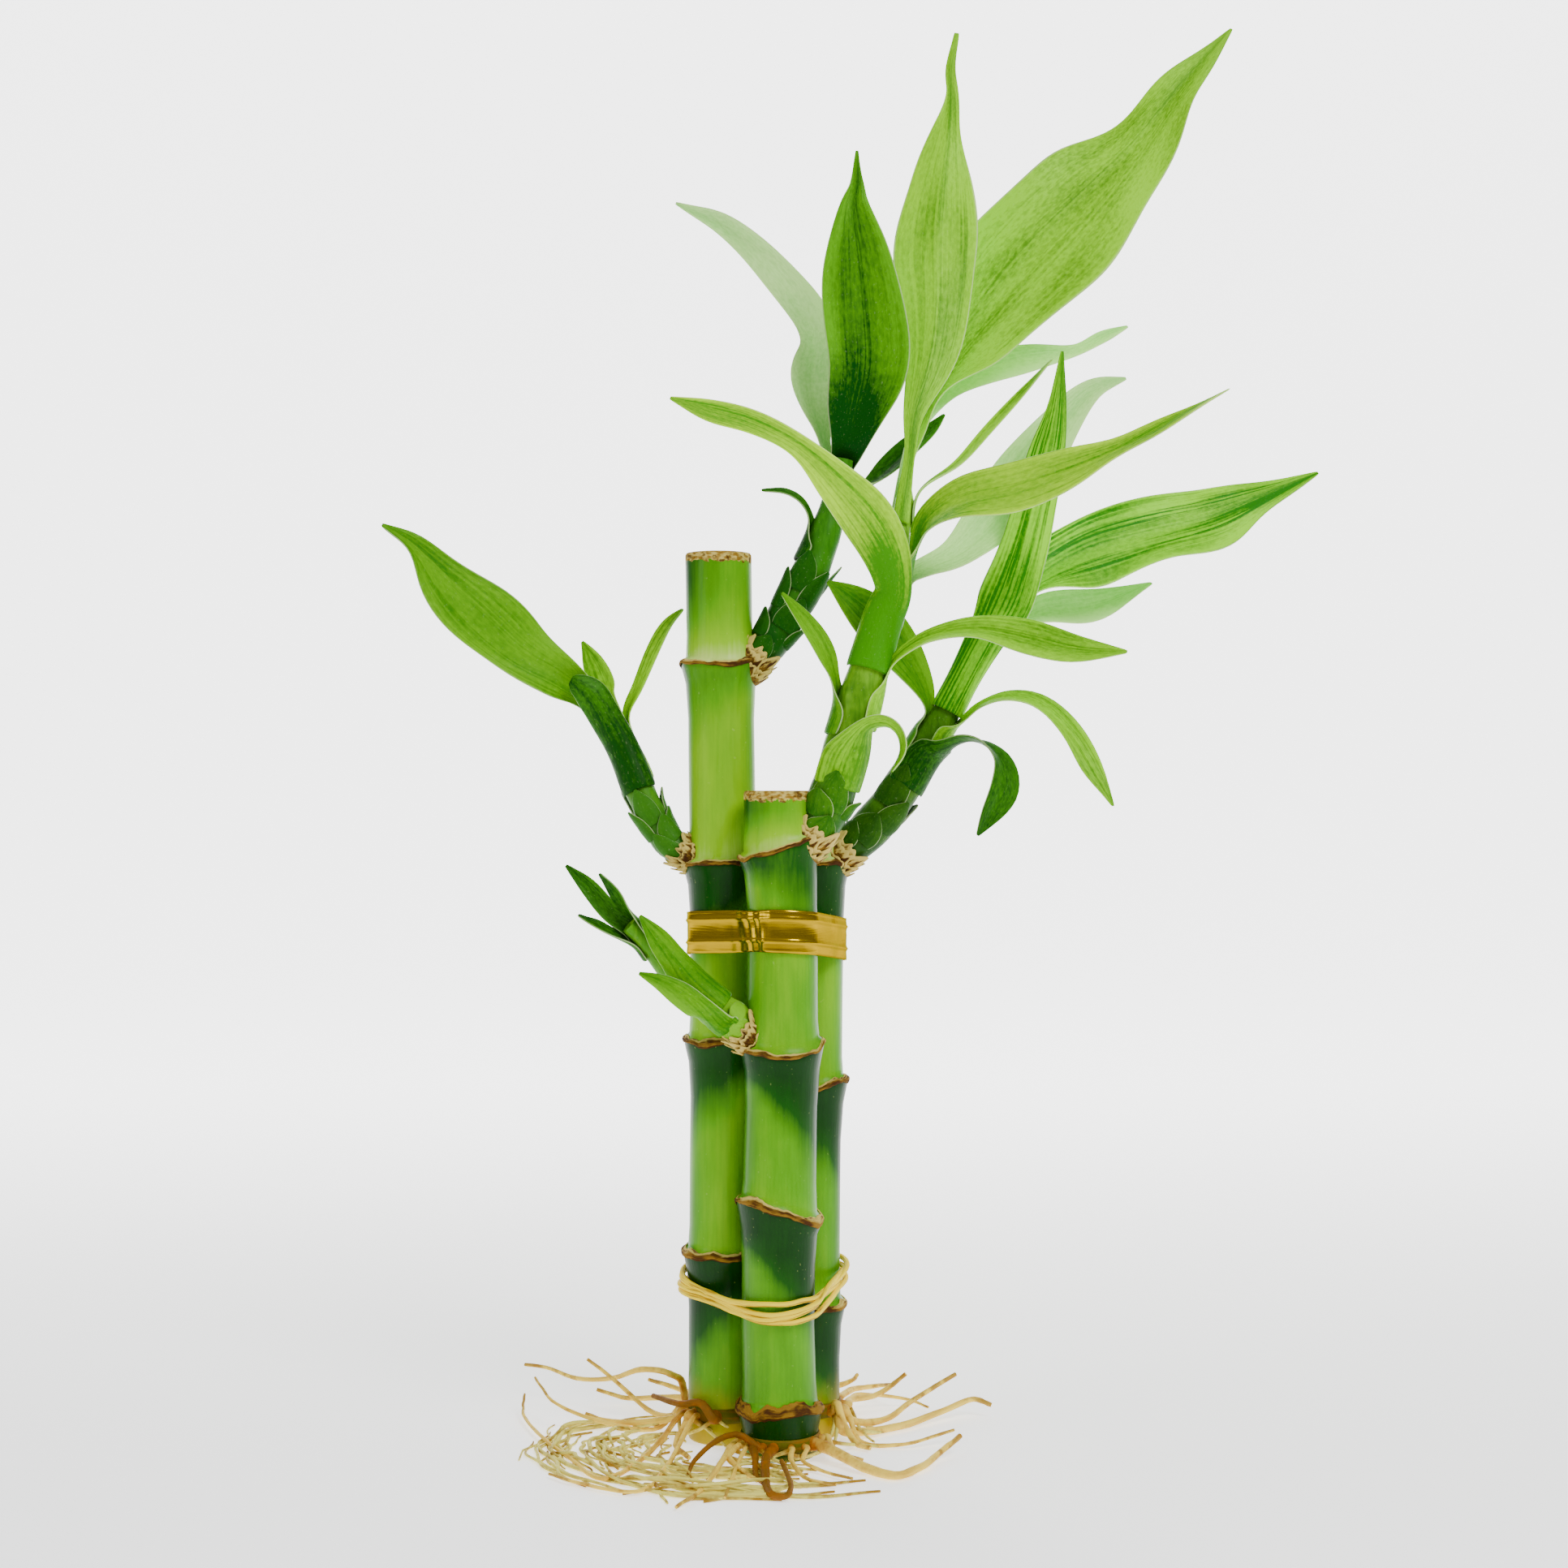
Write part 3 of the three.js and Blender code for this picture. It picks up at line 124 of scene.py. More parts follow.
# Each stem: how far its dry collar reaches up it and how ragged that is, then points of pixel
# across, pixel down, depth and radius.
# Scales: place along the stem, side it grows on, length, width, and how far its tip stands off.
# Sides are degrees round the stem: 0 is its right, 90 toward the viewer, 180 left, 270 away.
STEMS = {
    "a": {
        "collar": [0.13, 0.03],
        "points": [
            [910, 824, 13, 4.2],
            [940, 800, 13, 4.5],
            [962, 770, 13.5, 4.5],
            [985, 730, 14, 4.4],
            [1005, 690, 15, 4.1],
            [1022, 640, 16, 3.4],
            [1034, 595, 17, 2.6],
            [1040, 566, 17, 2.1],
        ],
        "scales": [
            [0.08, 95, 7, 6, 0.8],
            [0.2, 20, 7, 5, 1.4],
            [0.33, 150, 9, 6, 1.3],
            [0.36, 40, 10, 7, 0.9],
            [0.17, 150, 8, 6.5, 1.2],
            [0.26, 70, 8, 7.5, 1],
            [0.42, 110, 9, 7, 1.2],
            [0.44, 0, 8, 3.4, 2],
        ],
    },
    "b": {
        "collar": [0.1, 0.02],
        "points": [
            [980, 1046, 0, 4.4],
            [1010, 1015, -1, 5.0],
            [1026, 975, -1.5, 5.1],
            [1040, 930, -2, 5.0],
            [1052, 885, -2, 4.8],
            [1068, 830, -1.5, 4.3],
            [1086, 770, 0, 4.0],
            [1100, 715, 2, 3.4],
            [1108, 660, 5, 2.5],
            [1114, 615, 8, 1.9],
        ],
        "scales": [
            [0.06, 80, 8, 8, 0.9],
            [0.16, 95, 11, 9, 0.9],
            [0.13, 120, 8, 8.5, 1.4],
            [0.15, 20, 6, 5, 2],
        ],
    },
    "c": {
        "collar": [0.1, 0.02],
        "points": [
            [1018, 1060, 16, 4.2],
            [1056, 1036, 15.5, 4.7],
            [1088, 1002, 15, 4.8],
            [1120, 955, 15, 4.3],
            [1148, 905, 15, 3.7],
            [1170, 870, 15, 3.3],
            [1190, 830, 15.5, 3.2],
            [1212, 782, 16, 2.8],
            [1225, 748, 17, 2.1],
        ],
        "scales": [
            [0.08, 130, 7, 7, 0.9],
            [0.27, 110, 9, 8, 0.8],
            [0.13, 100, 8, 8.5, 1],
            [0.2, 60, 8, 7.5, 1.4],
            [0.24, 330, 6, 5, 1.8],
        ],
    },
    "d": {
        "collar": [0.12, 0.03],
        "points": [
            [864, 1056, 13, 3.5],
            [828, 1040, 13, 3.7],
            [806, 1010, 13.5, 3.6],
            [789, 975, 14, 3.4],
            [774, 935, 15, 3.2],
            [757, 900, 16, 2.8],
            [740, 872, 17, 2.1],
        ],
        "scales": [
            [0.1, 110, 7, 5, 0.9],
            [0.2, 20, 7, 5, 1.1],
            [0.3, 100, 9, 6, 0.9],
            [0.15, 60, 8, 6, 1],
            [0.24, 150, 8, 5, 1.4],
            [0.38, 215, 7, 4.5, 1.6],
            [0.32, 345, 7, 4, 1.5],
        ],
    },
    "e": {
        "collar": [0.14, 0.03],
        "points": [
            [936, 1280, 0, 4.0],
            [905, 1258, -2, 4.3],
            [880, 1240, -4, 4.0],
            [852, 1215, -5, 3.6],
            [822, 1187, -6, 3.1],
            [797, 1160, -7, 2.5],
            [775, 1140, -8, 1.8],
        ],
        "scales": [
            [0.1, 100, 5, 6, 0.6],
            [0.17, 60, 5, 6.5, 0.8],
        ],
    },
}

# Each leaf, named for its stem: the stretch and side of the stem that its base clasps and how far
# it wraps, the looks of its upper side and of its underside, and how far its edges ripple. Then
# its blade, as stations of pixel across, pixel down, depth, width, turn and curl.
LEAVES = {
    "leaf_a_curled": ([0.54, 0.62, 180, 130], "old", "glossy", 0.1, [
        [999, 640, 14, 3.2, 290, 50],
        [988, 617, 13, 2.8, 300, 40],
        [966, 604, 12, 2.2, 310, 20],
        [938, 604, 11, 0.7, 320, 10],
    ]),
    "leaf_a_low": ([0.72, 0.8, 20, 120], "old", "glossy", 0.1, [
        [1070, 598, 20, 5, 60, 50],
        [1092, 578, 22, 7, 45, 30],
        [1118, 553, 25, 6.8, 40, 25],
        [1145, 530, 27, 4.5, 40, 15],
        [1164, 510, 28, 0.7, 40, 10],
    ]),
    "leaf_a_pale": ([0.8, 0.89, 205, 110], "pale", "pale", 1.0, [
        [1014, 545, 20, 4.5, 310, 50],
        [1006, 505, 24, 8.5, 340, 40],
        [1003, 462, 27, 10.5, 360, 35],
        [1008, 420, 31, 8.8, 370, 30],
        [985, 370, 36, 9, 375, 20],
        [940, 315, 42, 8, 380, 20],
        [885, 275, 47, 5, 380, 15],
        [832, 250, 51, 0.7, 380, 10],
    ]),
    "leaf_a_top": ([0.9, 0.99, 270, 150], "deep", "deep", 0.9, [
        [1046, 548, 16, 9, 360, 90],
        [1056, 505, 14.5, 14.5, 360, 50],
        [1068, 450, 13.5, 19, 360, 35],
        [1065, 385, 13.5, 19.3, 360, 25],
        [1059, 318, 14, 16, 370, 20],
        [1051, 256, 15, 7.5, 370, 10],
        [1055, 225, 15.5, 3, 370, 10],
        [1056, 185, 16, 0.7, 360, 10],
    ]),
    "leaf_b_curled": ([0.24, 0.34, 60, 180], "tender", "bright", 0.1, [
        [1066, 898, -9, 6, 140, 80],
        [1090, 890, -10.5, 5, 120, 50],
        [1108, 903, -11.5, 4.6, 110, 40],
        [1112, 928, -12, 3.6, 110, 30],
        [1098, 952, -12.5, 0.7, 110, 10],
    ]),
    "leaf_b_left": ([0.38, 0.46, 180, 120], "glossy", "glossy", 0.1, [
        [1028, 840, -3, 4, 300, 60],
        [1020, 812, -4, 5, 325, 40],
        [1006, 784, -6, 5, 335, 30],
        [985, 755, -8, 3.4, 340, 20],
        [963, 730, -10, 0.7, 340, 10],
    ]),
    "leaf_b_arching": ([0.42, 0.52, 0, 130], "tender", "tender", 0.3, [
        [1094, 826, -3, 3.6, 70, 60],
        [1112, 803, -5, 4.2, 60, 50],
        [1147, 783, -8, 5.5, 50, 30],
        [1205, 774, -12, 7, 40, 25],
        [1265, 785, -17, 9.8, 35, 20],
        [1325, 800, -21, 7.8, 35, 15],
        [1390, 803, -24, 0.7, 35, 10],
    ]),
    "leaf_b_folded": ([0.56, 0.68, 95, 170], "bright", "bright", 0.3, [
        [1101, 728, -5, 9.5, 180, 100],
        [1094, 685, -8, 11.5, 180, 70],
        [1068, 638, -11, 12.5, 185, 50],
        [1030, 594, -15, 9.5, 200, 35],
        [985, 551, -19, 6, 215, 30],
        [928, 521, -23, 6, 215, 20],
        [873, 505, -27, 5.2, 215, 15],
        [825, 490, -30, 0.7, 220, 10],
    ]),
    "leaf_b_wide": ([0.67, 0.76, 20, 130], "bright", "bright", 0.4, [
        [1128, 685, -1, 9, 90, 80],
        [1142, 645, -5, 12.5, 65, 50],
        [1185, 617, -10, 14.8, 50, 35],
        [1250, 602, -15, 15.4, 40, 25],
        [1320, 579, -20, 12.8, 40, 25],
        [1380, 552, -24, 7.8, 55, 25],
        [1440, 520, -27, 4.8, 60, 20],
        [1517, 478, -30, 0.7, 90, 10],
    ]),
    "leaf_b_hidden": ([0.68, 0.78, 310, 100], "pale", "pale", 0.3, [
        [1135, 703, 8, 6, 35, 50],
        [1180, 682, 14, 9, 30, 30],
        [1225, 640, 20, 14, 20, 25],
        [1262, 585, 24, 15, 15, 20],
        [1305, 525, 27, 10, 10, 20],
        [1345, 480, 29, 6, 20, 10],
        [1388, 466, 30, 0.7, 20, 10],
    ]),
    "leaf_b_thin": ([0.92, 0.99, 0, 60], "tender", "tender", 0.1, [
        [1140, 598, 10, 2.6, 80, 40],
        [1180, 572, 13, 3.4, 60, 20],
        [1218, 528, 16, 3.6, 50, 15],
        [1262, 480, 19, 2.8, 50, 10],
        [1297, 442, 21, 0.7, 75, 10],
    ]),
    "leaf_b_top": ([0.91, 0.99, 95, 80], "tender", "tender", 0.8, [
        [1121, 560, 10, 2.6, 180, 60],
        [1126, 510, 14, 5, 180, 50],
        [1146, 440, 19, 12, 180, 35],
        [1153, 370, 23, 17.5, 180, 25],
        [1153, 295, 26, 20, 180, 20],
        [1160, 220, 28, 14.5, 180, 20],
        [1168, 160, 29.5, 7, 180, 20],
        [1171, 122, 30, 3.4, 180, 30],
        [1172, 85, 30.5, 2.4, 180, 40],
        [1179, 40, 31, 1.2, 180, 40],
    ]),
    "leaf_b_great": ([0.91, 0.99, 310, 60], "great", "tender", 1.4, [
        [1118, 590, 14, 2.6, 40, 60],
        [1128, 540, 20, 3.2, 30, 50],
        [1150, 480, 26, 9, 20, 35],
        [1193, 413, 32, 22, 20, 25],
        [1265, 324, 39, 35, 20, 25],
        [1341, 245, 45, 29.5, 20, 20],
        [1402, 179, 50, 19, 20, 20],
        [1458, 105, 54, 10, 20, 15],
        [1518, 35, 58, 0.7, 20, 10],
    ]),
    "leaf_b_behind": ([0.91, 0.99, 235, 60], "pale", "pale", 0.3, [
        [1112, 585, 14, 2.6, 330, 50],
        [1128, 530, 24, 3, 350, 40],
        [1163, 482, 34, 6.5, 370, 25],
        [1215, 455, 41, 9, 380, 20],
        [1270, 440, 46, 8, 385, 15],
        [1325, 432, 50, 4, 390, 10],
        [1358, 415, 52, 4, 390, 10],
        [1390, 402, 54, 0.7, 390, 10],
    ]),
    "leaf_c_drooping": ([0.34, 0.44, 60, 160], "old", "glossy", 0.3, [
        [1160, 925, 8, 6, 135, 90],
        [1185, 912, 6, 5.6, 110, 60],
        [1212, 914, 3, 6, 80, 40],
        [1236, 938, 0, 7.8, 50, 30],
        [1236, 972, -3, 8.2, 30, 25],
        [1221, 1002, -5, 5.6, 30, 20],
        [1204, 1030, -6, 0.7, 30, 10],
    ]),
    "leaf_c_arching": ([0.46, 0.55, 20, 130], "tender", "tender", 0.8, [
        [1186, 890, 12, 3.6, 80, 70],
        [1206, 868, 10, 4, 70, 50],
        [1240, 857, 6, 5.4, 50, 30],
        [1282, 868, 1, 5.6, 40, 25],
        [1322, 905, -4, 5.4, 35, 20],
        [1350, 950, -8, 5, 30, 15],
        [1372, 994, -11, 0.7, 40, 10],
    ]),
    "leaf_c_left": ([0.42, 0.5, 190, 110], "glossy", "glossy", 0.3, [
        [1143, 878, 13, 4.2, 290, 60],
        [1138, 850, 11, 7, 315, 45],
        [1116, 812, 9, 11, 330, 30],
        [1085, 774, 8.5, 13, 335, 25],
        [1052, 741, 8, 8.5, 340, 20],
        [1019, 716, 7, 0.7, 340, 10],
    ]),
    "leaf_c_upright": ([0.6, 0.74, 90, 150], "striped", "striped", 0.3, [
        [1218, 780, 11, 10.5, 180, 90],
        [1239, 742, 10.5, 13.5, 180, 55],
        [1257, 690, 11, 12, 180, 45],
        [1273, 630, 12, 10.5, 180, 40],
        [1290, 560, 13, 9, 180, 35],
        [1302, 500, 14, 4.5, 180, 20],
        [1309, 432, 15, 0.7, 180, 10],
    ]),
    "leaf_c_wide": ([0.8, 0.9, 320, 120], "striped", "tender", 1.5, [
        [1252, 740, 21, 8, 50, 60],
        [1290, 706, 25, 14, 30, 30],
        [1345, 678, 30, 19.2, 25, 22],
        [1420, 657, 35, 19.6, 25, 20],
        [1490, 639, 39, 16.6, 25, 20],
        [1550, 615, 43, 9.7, 25, 15],
        [1625, 582, 47, 0.7, 25, 10],
    ]),
    "leaf_c_pale": ([0.72, 0.8, 270, 90], "pale", "pale", 0.3, [
        [1245, 772, 24, 4.4, 30, 40],
        [1290, 752, 31, 9, 30, 25],
        [1350, 744, 39, 9.5, 30, 20],
        [1420, 718, 47, 0.7, 40, 10],
    ]),
    "leaf_d_tall": ([0.54, 0.62, 335, 80], "tender", "tender", 0.6, [
        [772, 888, 17.5, 2.8, 60, 50],
        [784, 850, 18, 3.4, 50, 30],
        [801, 805, 19, 5, 45, 25],
        [820, 772, 20, 5, 45, 20],
        [842, 750, 21, 0.7, 45, 10],
    ]),
    "leaf_d_short": ([0.78, 0.85, 305, 90], "tender", "tender", 0.6, [
        [750, 862, 22.5, 5.5, 30, 50],
        [744, 842, 23.5, 7, 20, 30],
        [733, 816, 24.5, 5.5, 20, 20],
        [717, 790, 25.5, 0.7, 20, 10],
    ]),
    "leaf_d_sheath": ([0.5, 0.72, 95, 170], "old", "glossy", 0.1, [
        [744, 882, 11.5, 9, 180, 120],
        [728, 856, 11, 8.5, 180, 90],
        [710, 842, 11, 5, 180, 60],
        [703, 838, 11.2, 2, 180, 40],
    ]),
    "leaf_d_great": ([0.86, 0.97, 265, 140], "glossy", "tender", 1.7, [
        [722, 857, 18, 7, 355, 80],
        [690, 831, 15, 11, 350, 50],
        [643, 804, 11, 14.8, 345, 35],
        [596, 761, 6, 16, 340, 25],
        [549, 715, 1, 11.6, 340, 20],
        [510, 673, -4, 5.2, 340, 10],
        [470, 646, -8, 0.7, 340, 10],
    ]),
    "leaf_e_sheath": ([0.32, 0.5, 75, 170], "glossy", "glossy", 0.1, [
        [834, 1186, -10, 7.5, 165, 110],
        [812, 1157, -10.5, 5.6, 160, 70],
        [788, 1128, -11, 0.7, 160, 20],
    ]),
    "leaf_e_low": ([0.2, 0.28, 140, 140], "glossy", "glossy", 0.1, [
        [864, 1248, -12, 7, 200, 80],
        [838, 1226, -12.5, 6.2, 190, 60],
        [812, 1209, -12.5, 3.6, 185, 40],
        [787, 1199, -12.5, 0.7, 185, 10],
    ]),
    "leaf_e_right": ([0.7, 0.82, 20, 120], "old", "glossy", 0.1, [
        [776, 1124, -8, 5, 70, 60],
        [758, 1100, -8.5, 4.4, 50, 40],
        [738, 1076, -9, 0.7, 50, 10],
    ]),
    "leaf_e_tip": ([0.88, 0.99, 270, 150], "old", "glossy", 0.1, [
        [750, 1122, -6, 5, 355, 80],
        [724, 1092, -6, 4, 355, 50],
        [697, 1066, -6, 0.7, 355, 10],
    ]),
    "leaf_e_left": ([0.76, 0.88, 190, 110], "old", "glossy", 0.1, [
        [753, 1150, -8, 4, 290, 60],
        [733, 1138, -9, 3.2, 300, 40],
        [712, 1127, -9, 0.7, 300, 10],
    ]),
}

# Each cane's tuft: where its crown begins and ends, and the roots that the view shows.
# Each root: where it leaves the crown in degrees (0 right, 90 away, -90 toward the viewer),
# its thickness against the thickest, and points of pixel across, pixel down and height.
TUFTS = {
    "front": {
        "crown": [2.2, 4.8],
        "seen_roots": [
            [-35, 1.2, [
                [1028, 1789, 3], [1065, 1808, 1.6], [1102, 1818, 1.2], [1134, 1808, 1.2],
                [1159, 1789, 1.8], [1183, 1769, 4],
            ]],
            [-12, 1.1, [[1018, 1770, 4], [1030, 1790, 2.6], [1062, 1800, 1.4]]],
            [-100, 1, [
                [944, 1795, 4], [942, 1820, 1.6], [952, 1842, 1.2], [968, 1844, 1.2],
                [974, 1830, 2], [962, 1800, 3.4],
            ]],
            [-125, 1, [[930, 1795, 3.6], [932, 1818, 1.2], [940, 1828, 1]]],
            [-115, 0.8, [[912, 1768, 6], [874, 1781, 6], [854, 1803, 3], [847, 1817, 1]]],
            [-145, 0.9, [[898, 1796, 3], [914, 1812, 1.4], [932, 1824, 1]]],
            [-160, 0.8, [[890, 1800, 3], [866, 1834, 1.2], [833, 1857, 1]]],
            [-75, 0.7, [[975, 1800, 3], [995, 1822, 1.2], [1031, 1829, 1]]],
            [-135, 0.6, [[905, 1815, 1.6], [893, 1845, 1]]],
            [-55, 0.6, [[990, 1800, 2], [1012, 1812, 1], [1050, 1822, 1]]],
        ],
    },
    "tall": {
        "crown": [5.4, 8],
        "seen_roots": [
            [150, 0.8, [
                [838, 1700, 11], [822, 1691, 13], [791, 1687, 13], [755, 1698, 9], [710, 1698, 7],
                [673, 1685, 8], [647, 1681, 8],
            ]],
            [-100, 1.2, [[878, 1748, 7], [864, 1729, 10], [840, 1730, 9], [804, 1720, 8]]],
            [-165, 1, [[836, 1745, 5], [783, 1753, 2], [742, 1750, 1.4], [720, 1742, 3]]],
            [-140, 1.1, [[846, 1752, 5], [833, 1779, 1.8], [849, 1796, 1.2]]],
            [175, 0.8, [[832, 1742, 5], [800, 1738, 3], [759, 1702, 9], [724, 1675, 15]]],
            [-155, 0.6, [
                [800, 1790, 1], [742, 1822, 1], [702, 1796, 1], [668, 1770, 1.4], [644, 1738, 2],
                [647, 1718, 4],
            ]],
            [165, 0.6, [[810, 1760, 1], [726, 1747, 3], [681, 1726, 6], [659, 1697, 9]]],
            [-130, 0.6, [[822, 1806, 1], [783, 1838, 1], [722, 1829, 1], [677, 1816, 1]]],
            [120, 0.9, [[812, 1722, 4], [770, 1722, 2], [735, 1712, 4]]],
            [95, 0.9, [[850, 1716, 4], [826, 1708, 4], [800, 1700, 7]]],
        ],
    },
    "right": {
        "crown": [5.4, 8],
        "seen_roots": [
            [-50, 1.1, [[1030, 1728, 9], [1040, 1755, 4.5], [1055, 1778, 1.4], [1072, 1784, 1]]],
            [-5, 1, [[1048, 1724, 6], [1082, 1718, 5], [1116, 1693, 10]]],
            [-30, 1, [[1050, 1750, 4], [1093, 1748, 2.4], [1122, 1727, 5], [1177, 1693, 10]]],
            [-45, 1.1, [
                [1038, 1762, 3.4], [1061, 1764, 1.8], [1110, 1757, 1.4], [1163, 1738, 2.4],
                [1200, 1724, 4], [1222, 1731, 3],
            ]],
            [-20, 0.7, [[1060, 1776, 1], [1110, 1780, 1], [1175, 1762, 3]]],
            [10, 0.6, [[1060, 1718, 4], [1118, 1724, 2], [1144, 1734, 1.2]]],
            [40, 0.9, [[1050, 1712, 4], [1075, 1708, 3], [1100, 1706, 6]]],
            [70, 0.9, [[1030, 1708, 5], [1048, 1702, 6], [1056, 1694, 9]]],
            [110, 0.8, [[1000, 1708, 5], [985, 1704, 5], [992, 1694, 8]]],
        ],
    },
}

# The swelling at a node: height above the node, and share of the flare
FLARE = 1.1
NODE_SHAPE = [
    [-13, 0],
    [-5, 0.4],
    [-1, 1.2],
    [0.3, 1.15],
    [1.2, 0.25],
    [6, 0],
]

# The bevelled foot and the dished, callused top: height above the end, and inset
FOOT_SHAPE = [
    [0, 0.5],
    [0.25, 0.15],
    [0.7, 0],
]
TOP_SHAPE = [
    [-1.3, 0],
    [-0.5, 0.05],
    [-0.1, 0.3],
    [0, 0.8],
    [-0.3, 1.5],
    [-0.9, 3],
    [-1.1, 5.5],
]


# Colours and settings

def linear(hex_code):
    """The linear red, green, blue and full cover of an sRGB colour written as six hex digits."""
    values = []
    for start in (0, 2, 4):
        share = int(hex_code[start:start + 2], 16) / 255
        values.append(share / 12.92 if share <= 0.04045 else ((share + 0.055) / 1.055) ** 2.4)
    return (*values, 1.0)


def colour(name, description, hex_code):
    return bpy.props.FloatVectorProperty(
        name=name, description=description, default=linear(hex_code),
        subtype="COLOR", size=4, min=0, max=1,
    )


def length(name, description, millimetres):
    return bpy.props.FloatProperty(
        name=name, description=description, default=millimetres * MM,
        subtype="DISTANCE", unit="LENGTH", min=0,
    )


def amount(name, description, default, **settings):
    return bpy.props.FloatProperty(
        name=name, description=description, default=default, min=0, **settings
    )


class BambooSizes(bpy.types.PropertyGroup):
    """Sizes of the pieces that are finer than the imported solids"""

    blade_thickness: length("Leaf thickness", "Thickness of a leaf blade", 0.45)
    vein_spacing: length("Vein spacing", "Distance between the parallel veins of a leaf", 1.1)
    foil_thickness: length("Foil thickness", "Thickness of the gold band", 0.3)
    sheath_thickness: length("Sheath thickness", "Thickness of the dry papery sheaths", 0.25)
    strand_radius: length("Raffia radius", "Radius of one raffia strand", 0.62)
    root_radius: length("Root radius", "Radius of the thickest root", 1.25)
    hair_radius: length("Root hair radius", "Radius of the finest roots", 0.38)
    hair_count: bpy.props.IntProperty(
        name="Root hairs", description="Fine roots lying round the feet", default=85, min=0, max=200
    )


class CaneColours(bpy.types.PropertyGroup):
    """Colours of the canes and of what is dry on them"""

    pale: colour("Above a node", "Palest skin, just above a node", "E2F48A")
    bright: colour("Bright skin", "Yellow-green skin of an internode", "8CC400")
    middle: colour("Green skin", "Greener skin towards the next node", "549C00")
    dark: colour("Under a node", "Dark skin under a node", "0F4C00")
    deepest: colour("Deepest skin", "Darkest skin under a node", "033600")
    dry_light: colour("Dry rim", "Dry tan tissue of the cut tops", "8C681A")
    dry_dark: colour("Dry scar", "Brown of the node scars and collars", "442608")
    # The sheaths' pale torn edges are partly a painted highlight; the crust's pale layers are its
    # own
    papery: colour("Papery edge", "Pale torn edge of a dry sheath", "D2BA62")
    foot: colour("Foot", "Yellow-orange skin at the feet", "BC9E00")


class StemColours(bpy.types.PropertyGroup):
    """Colours of the five shoots, at their foot and at their top"""

    a_low: colour("Shoot A foot", "Foot of the shoot on the tall cane's top", "114E02")
    a_high: colour("Shoot A top", "Top of that shoot", "34780A")
    b_low: colour("Shoot B foot", "Foot of the shoot on the front cane's top", "226000")
    b_high: colour("Shoot B top", "Top of that shoot", "74B018")
    c_low: colour("Shoot C foot", "Foot of the shoot on the right cane's top", "1B4A04")
    c_high: colour("Shoot C top", "Top of that shoot", "528803")
    d_low: colour("Shoot D foot", "Foot of the left shoot on the tall cane", "2E6A10")
    d_high: colour("Shoot D top", "Top of that shoot", "4E8E18")
    e_low: colour("Shoot E foot", "Foot of the low left shoot", "7DBB14")
    e_high: colour("Shoot E top", "Top of that shoot", "4A8E08")


class LeafColours(bpy.types.PropertyGroup):
    """Colours of the leaves, by age and light: the blade, and its veins and foot"""

    great: colour("Broad leaf", "Upper side of the broadest leaf", "94DC00")
    great_vein: colour("Broad leaf veins", "Veins and foot of the broadest leaf", "508C00")
    tender: colour("Tender leaf", "Underside of the tallest leaf and of the slender ones", "98E000")
    tender_vein: colour("Tender leaf veins", "Veins and foot of a tender leaf", "468800")
    deep: colour("Deep leaf", "Upper side of the dark top leaf", "5CAA00")
    deep_vein: colour("Deep leaf veins", "Veins and foot of the dark top leaf", "034200")
    bright: colour("Bright leaf", "Sunlit yellow-green leaf", "BCF600")
    bright_vein: colour("Bright leaf veins", "Veins and foot of a bright leaf", "3C8E00")
    striped: colour("Striped leaf", "Leaf with strong dark veins", "98E800")
    striped_vein: colour("Striped leaf veins", "Veins of a striped leaf", "1E7600")
    old: colour("Old leaf", "Dark small leaves and old sheaths", "347600")
    old_vein: colour("Old leaf veins", "Veins and foot of an old leaf", "0C4400")
    glossy: colour("Glossy leaf", "Upper side of the long left leaf", "6CAE00")
    glossy_vein: colour("Glossy leaf veins", "Veins of the long left leaf", "2C7400")
    pale: colour("Pale leaf", "Leaf seen from its pale underside", "CAFF96")
    pale_vein: colour("Pale leaf veins", "Veins of a pale underside", "96E070")
    # Pale specks of the leaves and shoots, and the thin line along a leaf's edges, which is a
    # painted highlight
    rim: colour("Leaf edge", "Thin pale edge of a leaf", "E2F2B4")


class TrimColours(bpy.types.PropertyGroup):
    """Colours of the ties and the roots"""

    foil: colour("Gold foil", "Metallised film of the band", "AA8A00")
    foil_edge: colour("Gold foil edge on", "The film seen at a grazing angle", "8C9800")
    raffia: colour("Raffia", "Light side of the raffia", "FFE010")
    raffia_shadow: colour("Raffia groove", "Grooves between the raffia's fibres", "B88A00")
    root: colour("Root", "Cream skin of a root", "FAD858")
    root_foot: colour("Root foot", "Orange-brown foot of a root", "A05C04")
    root_crown: colour("Root crown", "Olive skin between the roots' feet", "5C5C04")
    root_tip: colour("Root tip", "Grey-brown end of a root", "8C6428")
    root_old: colour("Old root", "Olive-brown skin of the oldest roots in front", "7A5210")
    hair: colour("Root hair", "Pale yellow-green of the finest roots", "E8DE6C")
    hair_old: colour("Old root hair", "Tan of the older fine roots", "9C7418")


class StudioSettings(bpy.types.PropertyGroup):
    """The floor, the lamps and the air round the bundle"""

    floor: colour("Floor", "Plain pale floor", "FFFFFF")
    glow: amount("Floor glow", "Light from within the backdrop", 3.2)
    key_power: amount("Key lamp", "Large soft lamp above on the right", 7.4, unit="POWER")
    fill_power: amount("Fill lamp", "Soft lamp on the left", 1.2, unit="POWER")
    back_power: amount("Back lamp", "Lamp behind the leaves' edges", 2, unit="POWER")
    air: amount("Surroundings", "Strength of the light from all round", 0.4)


# Places and curves

TANGENT_STEP = 0.0001


def seen(px, py, depth):
    """The point that the view shows at a pixel, at a depth behind the front cane's axis."""
    size = MM_PER_PIXEL * (1 + depth / VIEW_DISTANCE)
    across = EYE_ACROSS + (px - VIEW_CENTRE_PIXEL) * size
    up = EYE_HEIGHT - (py - VIEW_CENTRE_PIXEL) * size
    return Vector((across, depth, up))


